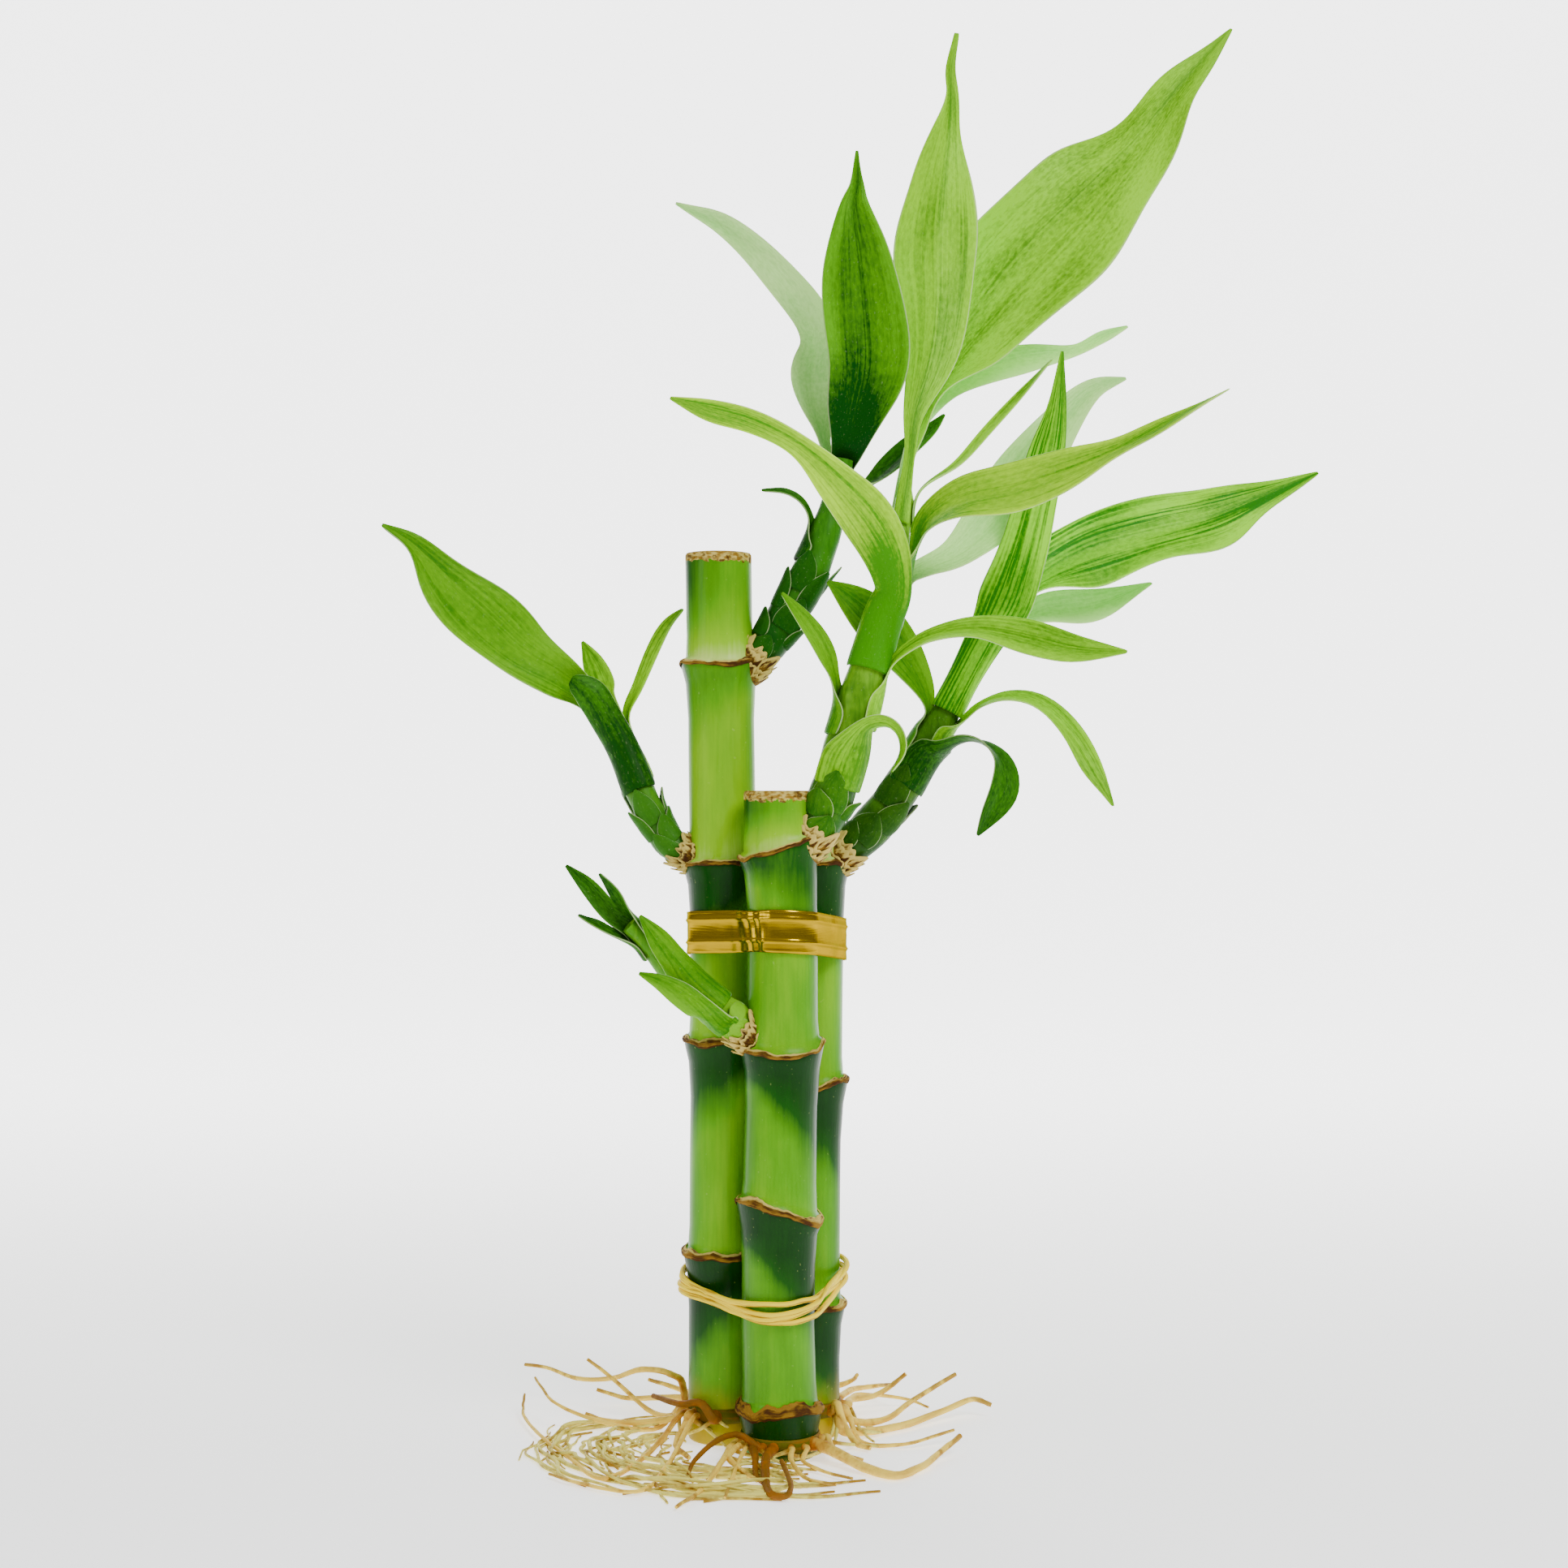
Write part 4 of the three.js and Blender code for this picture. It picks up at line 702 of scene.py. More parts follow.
def seen_at_height(px, py, height):
    """A point at a known height over the ground, where the view shows it."""
    drop = (py - VIEW_CENTRE_PIXEL) * MM_PER_PIXEL
    depth = VIEW_DISTANCE * ((EYE_HEIGHT - height) / drop - 1)
    return seen(px, py, depth)


def mix(low, high, share):
    return low + (high - low) * share


def clamp(value, low=0.0, high=1.0):
    return min(max(value, low), high)


def smooth(low, high, value):
    share = clamp((value - low) / (high - low))
    return share * share * (3 - 2 * share)


def between(values, fraction):
    """A value from a list of evenly spaced ones, at a fraction of the way along it."""
    place = fraction * (len(values) - 1)
    low = min(int(place), len(values) - 2)
    return mix(values[low], values[low + 1], place - low)


def course_length(points):
    return sum((after - here).length for here, after in zip(points, points[1:]))


def curve_point(points, share, even=False):
    """A point of a smooth curve through the points.

    An even curve takes no account of how far they are from each other.
    """
    spans = len(points) - 1
    place = clamp(share) * spans
    i = min(int(place), spans - 1)
    t = place - i
    here, after = points[i], points[i + 1]
    before = points[i - 1] if i > 0 else 2 * here - after
    beyond = points[i + 2] if i + 2 <= spans else 2 * after - here
    if even:
        leave = (after - before) / 2
        arrive = (beyond - here) / 2
    else:
        span = math.sqrt((after - here).length) or 1.0
        lead = math.sqrt((here - before).length) or span
        trail = math.sqrt((beyond - after).length) or span
        chord = (after - here) / span
        leave = span * ((here - before) / lead - (after - before) / (lead + span) + chord)
        arrive = span * (chord - (beyond - here) / (span + trail) + (beyond - after) / trail)
    bend = 2 * here - 2 * after + leave + arrive
    rise = 3 * after - 3 * here - 2 * leave - arrive
    return ((bend * t + rise) * t + leave) * t + here


def curve_tangent(points, share, even=False):
    before = curve_point(points, max(share - TANGENT_STEP, 0), even)
    after = curve_point(points, min(share + TANGENT_STEP, 1), even)
    return (after - before).normalized()


def cane_at(cane, height):
    """A cane's middle and radius at a height, with the swelling of its nodes."""
    fraction = clamp(height / cane["height"])
    swell = 0.0
    for node in cane["nodes"]:
        above = height - node
        for (low, low_share), (high, high_share) in zip(NODE_SHAPE, NODE_SHAPE[1:]):
            if low <= above <= high:
                share = mix(low_share, high_share, (above - low) / (high - low))
                swell = max(swell, FLARE * share)
    x = cane["foot"][0] + between(cane["drift"], fraction)
    return x, cane["foot"][1], between(cane["radii"], fraction) + swell


def beside_cane(cane, height, angle, away):
    """A point at an angle round a cane, at a distance from its skin."""
    x, y, radius = cane_at(cane, height)
    reach = radius + away
    return Vector((x + reach * math.cos(angle), y + reach * math.sin(angle), height))


def ring_noise(angle, size, seed):
    """Noise that closes on itself round a ring. It is finer on a larger ring."""
    return noise.noise(Vector((size * math.cos(angle), size * math.sin(angle), seed)))


# Making and finishing pieces

DOUBLES_WITHIN = 0.002


def deselect():
    bpy.ops.object.select_all(action="DESELECT")


def pick(piece):
    """Makes a piece the active one, and the only one that is selected."""
    deselect()
    bpy.context.view_layer.objects.active = piece
    piece.select_set(True)


def in_edit_mode(piece, work):
    """Runs one edit-mode step on the whole of a piece."""
    pick(piece)
    bpy.ops.object.mode_set(mode="EDIT")
    bpy.ops.mesh.select_all(action="SELECT")
    work()
    bpy.ops.object.mode_set(mode="OBJECT")


def outward(piece):
    in_edit_mode(piece, lambda: bpy.ops.mesh.normals_make_consistent(inside=False))


def laid_grid(name, columns, rows, place, wrapped=False):
    """A grid whose points are laid on a surface, in millimetres.

    Place gives a point for each share across and along, and the UV map keeps the two shares.
    A wrapped grid closes on itself across.
    """
    deselect()
    bpy.ops.mesh.primitive_grid_add(x_subdivisions=columns, y_subdivisions=rows, size=1)
    piece = bpy.context.active_object
    piece.name = name
    for vertex in piece.data.vertices:
        across = round(vertex.co.x + 0.5, 5)
        along = round(vertex.co.y + 0.5, 5)
        vertex.co = place(across, along) * MM
    if wrapped:
        in_edit_mode(piece, lambda: bpy.ops.mesh.remove_doubles(threshold=DOUBLES_WITHIN * MM))
    return piece


def apply_modifier(piece, kind, **settings):
    pick(piece)
    modifier = piece.modifiers.new(kind.title(), kind)
    for name, value in settings.items():
        setattr(modifier, name, value)
    bpy.ops.object.modifier_apply(modifier=modifier.name)


def thicken(piece, thickness, **settings):
    apply_modifier(piece, "SOLIDIFY", thickness=thickness, offset=0, **settings)


def subdivide(piece, levels=1):
    apply_modifier(piece, "SUBSURF", levels=levels, render_levels=levels)


def strands(name, paths, resolution=3, closed=False):
    """Round tapered strands along paths of point and radius, in one mesh.

    Its UV map runs along each strand and round it.
    """
    deselect()
    bpy.ops.curve.primitive_nurbs_path_add()
    piece = bpy.context.active_object
    piece.name = name
    curve = piece.data
    curve.splines.clear()
    for path in paths:
        spline = curve.splines.new("POLY")
        spline.points.add(len(path) - 1)
        spline.use_cyclic_u = closed
        for point, (at, radius) in zip(spline.points, path):
            point.co = (*(at * MM), 1)
            point.radius = radius * MM
    curve.dimensions = "3D"
    curve.bevel_depth = 1
    curve.bevel_resolution = resolution
    curve.use_fill_caps = not closed
    bpy.ops.object.convert(target="MESH")
    return bpy.context.active_object


def join(name, pieces):
    deselect()
    for piece in pieces:
        piece.select_set(True)
    bpy.context.view_layer.objects.active = pieces[0]
    bpy.ops.object.join()
    whole = bpy.context.active_object
    whole.name = name
    return whole


def settle(piece, materials, slot, *nodes):
    """Gives a piece its materials and body, and hides the nodes that it stands for. Its slot is not
    used.
    """
    piece.data.materials.clear()
    for material in materials:
        piece.data.materials.append(material)
    for face in piece.data.polygons:
        face.use_smooth = True
    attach(piece, "root")
    if nodes:
        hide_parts(*nodes)


# Materials

# Noises are scaled in patches per millimetre: a Scale of 1.4 makes patches 0.7 mm wide, and a
# Mapping whose last scale is 0.06 draws them out 17 times as long. The finest, which are specks and
# fibres of 0.5 to 1 mm, are coarser than the real ones, so that they show.
# A map between ranges eases in and out, and a mix is of two colours.
EASED = {"interpolation_type": "SMOOTHSTEP"}
COLOURED = {"data_type": "RGBA"}
TO_MILLIMETRES = (1 / MM, 1 / MM, 1 / MM)


def add_node(tree, kind, inputs=(), **settings):
    """Adds a node with its settings, and sets or links its inputs.

    The inputs are in the node's own order, or by name. Each is a value, an output,
    or a node whose first live output is taken.
    """
    node = tree.nodes.new("ShaderNode" + kind)
    for name, value in settings.items():
        setattr(node, name, value)
    pairs = inputs.items() if isinstance(inputs, dict) else enumerate(inputs)
    for socket, value in pairs:
        if isinstance(value, bpy.types.Node):
            value = next(output for output in value.outputs if output.enabled)
        if isinstance(value, bpy.types.NodeSocket):
            tree.links.new(value, node.inputs[socket])
        else:
            node.inputs[socket].default_value = value
    return node


def new_material(name):
    """An empty material, and the call that adds a node to it."""
    material = bpy.data.materials.new(name)
    material.use_nodes = True
    material.node_tree.nodes.clear()
    return material, functools.partial(add_node, material.node_tree)


def waxy_cane(colours):
    """Living cane skin: smooth waxy green bark, so a soft gloss over fine lengthwise fibres."""
    material, node = new_material("waxy_cane_bark")
    place = node("Mapping", {"Vector": node("TexCoord").outputs["Object"], "Scale": TO_MILLIMETRES})
    # Fibres 0.7 mm wide, clouds 5.6 mm wide, and flecks of 0.9 mm
    lengthwise = node("Mapping", {"Vector": place, "Scale": (1, 1, 0.06)})
    fibre = node("TexNoise", {"Vector": lengthwise, "Scale": 1.4})
    streaks = node("Mapping", {"Vector": place, "Scale": (1, 1, 0.3)})
    cloud = node("TexNoise", {"Vector": streaks, "Scale": 0.18})
    fleck = node("TexNoise", {"Vector": place, "Scale": 1.1, "Detail": 1.0})
    # Tone: set from node to node, with its painted shade, then streaked as the fibres run.
    tone = node("Attribute", attribute_name="tone").outputs["Fac"]
    for swell, low, high, reach in ((cloud, 0.25, 0.75, 0.05), (fibre, 0.3, 0.7, 0.018)):
        uneven = node("MapRange", [swell, low, high, -reach, reach], **EASED)
        tone = node("Math", [tone, uneven], operation="ADD")
    ramp = node("ValToRGB", [tone])
    stops = [
        (0.0, colours.pale),
        (0.27, colours.bright),
        (0.52, colours.middle),
        (0.78, colours.dark),
        (1.0, colours.deepest),
    ]
    for place_on_ramp, _ in stops[1:-1]:
        ramp.color_ramp.elements.new(place_on_ramp)
    for element, (place_on_ramp, value) in zip(ramp.color_ramp.elements, stops):
        element.position = place_on_ramp
        element.color = value
    flecked = node("MapRange", [fleck, 0.72, 0.8, 0.0, 0.12], **EASED)
    skin = node("Mix", {"Factor": flecked, "A": ramp, "B": colours.pale}, **COLOURED)
    # Foot: the yellow of the skin at the ground.
    uneven = node("MapRange", [cloud, 0.3, 0.7, -0.15, 0.15], **EASED)
    foot = node("Attribute", attribute_name="foot").outputs["Fac"]
    foot = node("Math", [foot, uneven], operation="ADD")
    foot_share = node("MapRange", [foot, 0.3, 1.3, 0.0, 0.9], **EASED)
    skin = node("Mix", {"Factor": foot_share, "A": skin, "B": colours.foot}, **COLOURED)
    # Cut top: a dry crust in thin layers, with lumps of 1.3 mm.
    crust = node("TexNoise", {"Vector": place, "Scale": 0.77, "Detail": 4.0})
    uneven = node("MapRange", [crust, 0.3, 0.7, -0.4, 0.4], **EASED)
    dry = node("Attribute", attribute_name="dry").outputs["Fac"]
    dry = node("Math", [dry, uneven], operation="ADD")
    dry = node("MapRange", [dry, -0.05, 0.15], **EASED)
    flat = node("Mapping", {"Vector": place, "Scale": (1, 1, 2.5)})
    layers = node("TexNoise", {"Vector": flat, "Scale": 0.67, "Detail": 4.0})
    layered = node("MapRange", [layers, 0.35, 0.62], **EASED)
    scab = node("Mix", {"Factor": layered, "A": colours.papery, "B": colours.dry_light}, **COLOURED)
    cracked = node("MapRange", [crust, 0.52, 0.66, 0.0, 0.8], **EASED)
    scab = node("Mix", {"Factor": cracked, "A": scab, "B": colours.dry_dark}, **COLOURED)
    skin = node("Mix", {"Factor": dry, "A": skin, "B": scab}, **COLOURED)
    rough = node("MapRange", [dry, 0.0, 1.0, 0.3, 0.85])
    relief = node("Math", [dry, crust, fibre], operation="MULTIPLY_ADD")
    bump = node("Bump", {"Height": relief, "Strength": 0.25, "Distance": 0.2 * MM})
    shader = node("BsdfPrincipled", {
        "Base Color": skin,
        "Roughness": rough,
        "Specular IOR Level": 0.12,
        "Normal": bump,
    })
    node("OutputMaterial", [shader])
    return material


def dry_sheath(name, edge_colour, colours, fibres):
    """Dead leaf sheath: dry brown paper with pale torn edges, so quite matt.

    Its fibres are counted round it and from its root to its edge, and its blotches are 3.4 mm wide.
    """
    material, node = new_material(name)
    shares = node("UVMap")
    place = node("Mapping", {"Vector": node("TexCoord").outputs["Object"], "Scale": TO_MILLIMETRES})
    counted = node("Mapping", {"Vector": shares, "Scale": (*fibres, 1)})
    streak = node("TexNoise", {"Vector": counted, "Scale": 1.0, "Detail": 5.0, "Roughness": 0.6})
    blotch = node("TexNoise", {"Vector": place, "Scale": 0.29, "Detail": 3.0})
    uneven = node("MapRange", [blotch, 0.3, 0.7, -0.08, 0.08], **EASED)
    streak = node("Math", [streak, uneven], operation="ADD")
    streaked = node("MapRange", [streak, 0.36, 0.6], **EASED)
    dark, light = colours.dry_dark, colours.dry_light
    brown = node("Mix", {"Factor": streaked, "A": dark, "B": light}, **COLOURED)
    # Darker at the root and pale at the torn edge: partly the dry paper's own colour, partly
    # painted shade and a painted highlight
    along = node("SeparateXYZ", [shares]).outputs["Y"]
    frayed = node("MapRange", [streak, 0.3, 0.7, -0.25, 0.25], **EASED)
    edge = node("Math", [along, frayed], operation="ADD")
    rooted = node("MapRange", [edge, 0.0, 0.4], **EASED)
    brown = node("Mix", {"Factor": rooted, "A": dark, "B": brown}, **COLOURED)
    torn = node("MapRange", [edge, 0.6, 0.92], **EASED)
    paper = node("Mix", {"Factor": torn, "A": brown, "B": edge_colour}, **COLOURED)
    bump = node("Bump", {"Height": streak, "Strength": 0.9, "Distance": 0.6 * MM})
    shader = node("BsdfPrincipled", {
        "Base Color": paper,
        "Roughness": 0.8,
        "Specular IOR Level": 0.12,
        "Normal": bump,
    })
    node("OutputMaterial", [shader])
    return material


def living_leaf(name, blade, vein, rim, spacing, contrast, foot_shade, mottling):
    """Living leaf: waxy skin over long parallel veins, fine pale specks, and a painted highlight on
    its edge.
    """
    material, node = new_material(name)
    sizes = node("Attribute", attribute_name="blade_mm").outputs["Vector"]
    shares = node("SeparateXYZ", [node("UVMap")])
    across, along = shares.outputs["X"], shares.outputs["Y"]
    # Veins: fine lines 0.7 of their spacing wide, gathered in bands of 3.4 times their spacing, and
    # all drawn out along the blade.
    lengthwise = node("Mapping", {"Vector": sizes, "Scale": (1, 0.02, 1)})
    fine = node("TexNoise", {"Vector": lengthwise, "Scale": 1.43 * MM / spacing})
    bands = node("Mapping", {"Vector": sizes, "Scale": (1, 0.03, 1)})
    broad = node("TexNoise", {"Vector": bands, "Scale": 0.29 * MM / spacing, "Detail": 1.0})
    lines = node("MapRange", [fine, 0.42, 0.62], **EASED)
    gathered = node("MapRange", [broad, 0.35, 0.65, 0.3, 1.0], **EASED)
    lines = node("Math", [lines, gathered], operation="MULTIPLY")
    # Mottling: flesh in light and dark patches of 0.9 mm, over 9 mm swells of painted light and
    # shade, and 0.6 mm specks.
    drawn_out = node("Mapping", {"Vector": sizes, "Scale": (1, 0.6, 1)})
    mottle = node("TexNoise", {"Vector": drawn_out, "Scale": 1.1, "Detail": 4.0, "Roughness": 0.65})
    swells = node("Mapping", {"Vector": sizes, "Scale": (1, 0.4, 1)})
    cloud = node("TexNoise", {"Vector": swells, "Scale": 0.11, "Detail": 1.0})
    speck = node("TexNoise", {"Vector": sizes, "Scale": 1.8, "Detail": 1.0})
    off_middle = node("Math", [across, 0.5], operation="SUBTRACT")
    off_middle = node("Math", [off_middle], operation="ABSOLUTE")
    shade = node("Math", [lines, contrast, 0.2], operation="MULTIPLY_ADD")
    for source, low, high, to_low, to_high in (
        (along, 0.12, 0.6, foot_shade, 0.0),
        (along, 0.65, 1.0, 0.0, 0.25),
        # Painted shade down the middle, and painted light towards the edges
        (off_middle, 0.15, 0.5, 0.12, -0.25),
        (mottle, 0.3, 0.7, -mottling, mottling),
        # Broad swells of painted light and shade
        (cloud, 0.3, 0.7, -0.25, 0.25),
    ):
        part = node("MapRange", [source, low, high, to_low, to_high], **EASED)
        shade = node("Math", [shade, part], operation="ADD")
    shade = node("Clamp", [shade])
    skin = node("Mix", {"Factor": shade, "A": blade, "B": vein}, **COLOURED)
    # Pale specks of the flesh, and a thin pale line along the edges that is a painted highlight
    for source, low, high, most in ((speck, 0.62, 0.78, 0.08), (off_middle, 0.475, 0.495, 0.4)):
        share = node("MapRange", [source, low, high, 0.0, most], **EASED)
        skin = node("Mix", {"Factor": share, "A": skin, "B": rim}, **COLOURED)
    rough = node("MapRange", [mottle, 0.3, 0.7, 0.35, 0.52], **EASED)
    relief = node("Math", [speck, 0.3, fine], operation="MULTIPLY_ADD")
    bump = node("Bump", {"Height": relief, "Strength": 0.3, "Distance": 0.3 * MM})
    shader = node("BsdfPrincipled", {
        "Base Color": skin,
        "Roughness": rough,
        "Specular IOR Level": 0.07,
        "Normal": bump,
    })
    node("OutputMaterial", [shader])
    return material


def green_stem(name, low, high, rim):
    """Living shoot: smooth waxy sheaths wrapped round each other, darker at the foot.

    It has fibres 0.8 mm wide, patches of 5 mm and pale specks of 0.6 mm.
    """
    material, node = new_material(name)
    place = node("Mapping", {"Vector": node("TexCoord").outputs["Object"], "Scale": TO_MILLIMETRES})
    lengthwise = node("Mapping", {"Vector": place, "Scale": (1, 1, 0.12)})
    fibre = node("TexNoise", {"Vector": lengthwise, "Scale": 1.25})
    mottle = node("TexNoise", {"Vector": place, "Scale": 0.2})
    speck = node("TexNoise", {"Vector": place, "Scale": 1.67, "Detail": 1.0})
    uneven = node("MapRange", [mottle, 0.3, 0.7, -0.15, 0.15], **EASED)
    rise = node("Math", [node("SeparateXYZ", [node("UVMap")]), uneven], operation="ADD")
    risen = node("MapRange", [rise, 0.1, 0.75], **EASED)
    skin = node("Mix", {"Factor": risen, "A": low, "B": high}, **COLOURED)
    for source, from_low, from_high, most, tint in (
        (fibre, 0.45, 0.65, 0.35, low),
        (speck, 0.65, 0.78, 0.1, rim),
    ):
        share = node("MapRange", [source, from_low, from_high, 0.0, most], **EASED)
        skin = node("Mix", {"Factor": share, "A": skin, "B": tint}, **COLOURED)
    bump = node("Bump", {"Height": fibre, "Strength": 0.3, "Distance": 0.3 * MM})
    shader = node("BsdfPrincipled", {
        "Base Color": skin,
        "Roughness": 0.4,
        "Specular IOR Level": 0.12,
        "Normal": bump,
    })
    node("OutputMaterial", [shader])
    return material


def gold_foil(colours):
    """Metallised plastic film: a mirror of gold, with crinkles of 4 mm and fine rolling lines."""
    material, node = new_material("gold_metallised_film")
    place = node("Mapping", {"Vector": node("TexCoord").outputs["Object"], "Scale": TO_MILLIMETRES})
    upright = node("Mapping", {"Vector": place, "Scale": (1, 1, 0.35)})
    crinkle = node("TexNoise", {"Vector": upright, "Scale": 0.25})
    level = node("Mapping", {"Vector": place, "Scale": (0.05, 0.05, 1)})
    line = node("TexNoise", {"Vector": level, "Scale": 2.0, "Detail": 1.0})
    relief = node("Math", [line, 0.25, crinkle], operation="MULTIPLY_ADD")
    bump = node("Bump", {"Height": relief, "Strength": 0.22, "Distance": 0.5 * MM})
    # The tint keeps the film golden where it is seen edge on.
    shader = node("BsdfPrincipled", {
        "Base Color": colours.foil,
        "Specular Tint": colours.foil_edge,
        "Roughness": 0.2,
        "Metallic": 1.0,
        "Normal": bump,
    })
    node("OutputMaterial", [shader])
    return material


def raffia(colours):
    """Raffia: dry palm leaf torn to strips and twisted, so long fine fibres with a soft sheen.

    The fibres are counted round the loop and round a strand.
    """
    material, node = new_material("twisted_raffia")
    counted = node("Mapping", {"Vector": node("UVMap"), "Scale": (14, 5, 1)})
    fibre = node("TexNoise", {"Vector": counted, "Scale": 1.0, "Detail": 3.0})
    lit = node("MapRange", [fibre, 0.32, 0.5], **EASED)
    skin = node("Mix", {"Factor": lit, "A": colours.raffia_shadow, "B": colours.raffia}, **COLOURED)
    bump = node("Bump", {"Height": fibre, "Strength": 0.8, "Distance": 0.4 * MM})
    shader = node("BsdfPrincipled", {
        "Base Color": skin,
        "Roughness": 0.55,
        "Specular IOR Level": 0.15,
        "Normal": bump,
    })
    node("OutputMaterial", [shader])
    return material


def root_skin(name, foot, skin_colour, tip, foot_end=0.42):
    """Living root: soft cream skin, orange where it leaves the cane and greyer at its end.

    Its blotches are 2.5 mm wide.
    """
    material, node = new_material(name)
    place = node("Mapping", {"Vector": node("TexCoord").outputs["Object"], "Scale": TO_MILLIMETRES})
    blotch = node("TexNoise", {"Vector": place, "Scale": 0.4, "Detail": 3.0})
    uneven = node("MapRange", [blotch, 0.3, 0.7, -0.12, 0.12], **EASED)
    along = node("Math", [node("SeparateXYZ", [node("UVMap")]), uneven], operation="ADD")
    left_foot = node("MapRange", [along, 0.05, foot_end], **EASED)
    skin = node("Mix", {"Factor": left_foot, "A": foot, "B": skin_colour}, **COLOURED)
    counted = node("Mapping", {"Vector": node("UVMap"), "Scale": (5, 2, 1)})
    streak = node("TexNoise", {"Vector": counted, "Scale": 1.0, "Detail": 3.0})
    for source, low, high, most, tint in (
        (along, 0.8, 1.0, 0.7, tip),
        (streak, 0.45, 0.65, 0.5, foot),
        (blotch, 0.56, 0.76, 0.5, foot),
    ):
        share = node("MapRange", [source, low, high, 0.0, most], **EASED)
        skin = node("Mix", {"Factor": share, "A": skin, "B": tint}, **COLOURED)
    bump = node("Bump", {"Height": blotch, "Strength": 0.5, "Distance": 0.4 * MM})
    shader = node("BsdfPrincipled", {
        "Base Color": skin,
        "Roughness": 0.6,
        "Specular IOR Level": 0.12,
        "Normal": bump,
    })
    node("OutputMaterial", [shader])
    return material


# Canes

CANE_SIDES = 60
RING_GAP = 3.5
END_GAP = 0.6
RINGS_NEAR_NODE = [-13, -9, -5, -3, -1.8, -1, -0.5, -0.15, 0.15, 0.5, 1.2, 2.5, 4, 6]

# How rough a scar's line is, and how far from the node the cane's skin still follows it
SCAR_ROUGHNESS = 0.35
SCAR_FALLOFF = 5.0
# A scar's torn edges: the strength, the size and the seed's share of each noise round it
SCAR_LOW_EDGE = [(0.5, 2, 1), (0.15, 10, 5)]
SCAR_HIGH_EDGE = [(0.5, 2.6, 1.3), (0.25, 12, 6)]
# How far a scar stands off the skin: at its edges, in its middle, and where its top edge frays
SCAR_PROUD = 0.12
SCAR_BULGE = 0.35
SCAR_FRAY = 0.3
# How uneven a cane's radius is, and the height over which it changes
LUMP_SHARE = 0.012
LUMP_LENGTH = 18
# A scar lower than this is dark, worn and damp.
WORN_BELOW = 18

# The skin's tone has a slow swell. The skin is dark under a node, as far as its reach and its lean
# take it, the lean being painted shade, and pale above one, which fades with height.
TONE_SWELL = 0.05
TONE_SWELL_LENGTH = 23
DARK_REACH = 22
DARK_STRENGTH = 0.62
LEAN_SHARE = 0.6
PALE_STRENGTH = 0.33
PALE_FADE = 5
# The skin has painted shade on the cane's sides, and it is darker towards the ground.
SIDE_PAINTED_SHADE = 0.13
LOW_DARKENING = 0.22
LOW_DARKENING_FADE = 35
# The stub above the last node has painted shade towards its cut, most on its left.
STUB_PAINTED_SHADE = 0.168
# The foot's yellow at the ground, and the height that takes it off: less where a scar lies low
FOOT_YELLOW = (1.4, 14)
WORN_FOOT_YELLOW = (0.75, 5)
# The dry crust of the cut top: how far under the cut it starts, how fast it is full, and its rim
CRUST_START = 2.3
CRUST_LENGTH = 1.2
CRUST_RIM = 1


def scar_shift(cane, index, angle):
    """How far a node's scar lies above or below the node's height, at an angle round the cane."""
    radius = between(cane["radii"], cane["nodes"][index] / cane["height"])
    tilt = cane["tilts"][index] * radius * math.cos(angle)
    wave = cane["waves"][index] * math.sin(2 * angle + 1.7 * index + cane["height"])
    return tilt + wave + SCAR_ROUGHNESS * ring_noise(angle, 3, cane["height"] + index)


def cane_rings(cane):
    """Heights and insets of the rings, close together near the nodes and the ends."""
    top = [(cane["height"] + above, inset) for above, inset in TOP_SHAPE]
    lowest, highest = FOOT_SHAPE[-1][0], top[0][0]
    heights = [node + above for node in cane["nodes"] for above in RINGS_NEAR_NODE]
    plain = lowest + RING_GAP
    while plain < highest - 1:
        if all(abs(plain - height) > RING_GAP / 2 for height in heights):
            heights.append(plain)
        plain += RING_GAP
    middle = sorted(height for height in heights if lowest + END_GAP < height < highest - END_GAP)
    return FOOT_SHAPE + [(height, 0) for height in middle] + top


def cane_body(name, cane):
    """A cane drawn up from a disc, ring by ring, then waved along its scars."""
    rings = cane_rings(cane)
    x, y, radius = cane_at(cane, rings[0][0])
    reach = radius - rings[0][1]
    deselect()
    bpy.ops.mesh.primitive_circle_add(
        vertices=CANE_SIDES, radius=reach * MM, fill_type="NGON",
        location=(x * MM, y * MM, rings[0][0] * MM), enter_editmode=True,
    )
    for (low, _), (height, inset) in zip(rings, rings[1:]):
        next_x, _, next_radius = cane_at(cane, height)
        next_reach = next_radius - inset
        bpy.ops.mesh.extrude_region_move(
            TRANSFORM_OT_translate={"value": ((next_x - x) * MM, 0, (height - low) * MM)}
        )
        scale = next_reach / reach
        bpy.ops.transform.resize(
            value=(scale, scale, 1), center_override=(next_x * MM, y * MM, height * MM)
        )
        x, reach = next_x, next_reach
    bpy.ops.object.mode_set(mode="OBJECT")
    piece = bpy.context.active_object
    pick(piece)
    piece.name = name
    bpy.ops.object.transform_apply(location=True, rotation=True, scale=True)
    outward(piece)
    paint_cane(piece, cane)
    wave_cane(piece, cane)
    return piece


def angle_round(cane, point):
    x, y, _ = cane_at(cane, point.z)
    return math.atan2(point.y - y, point.x - x)


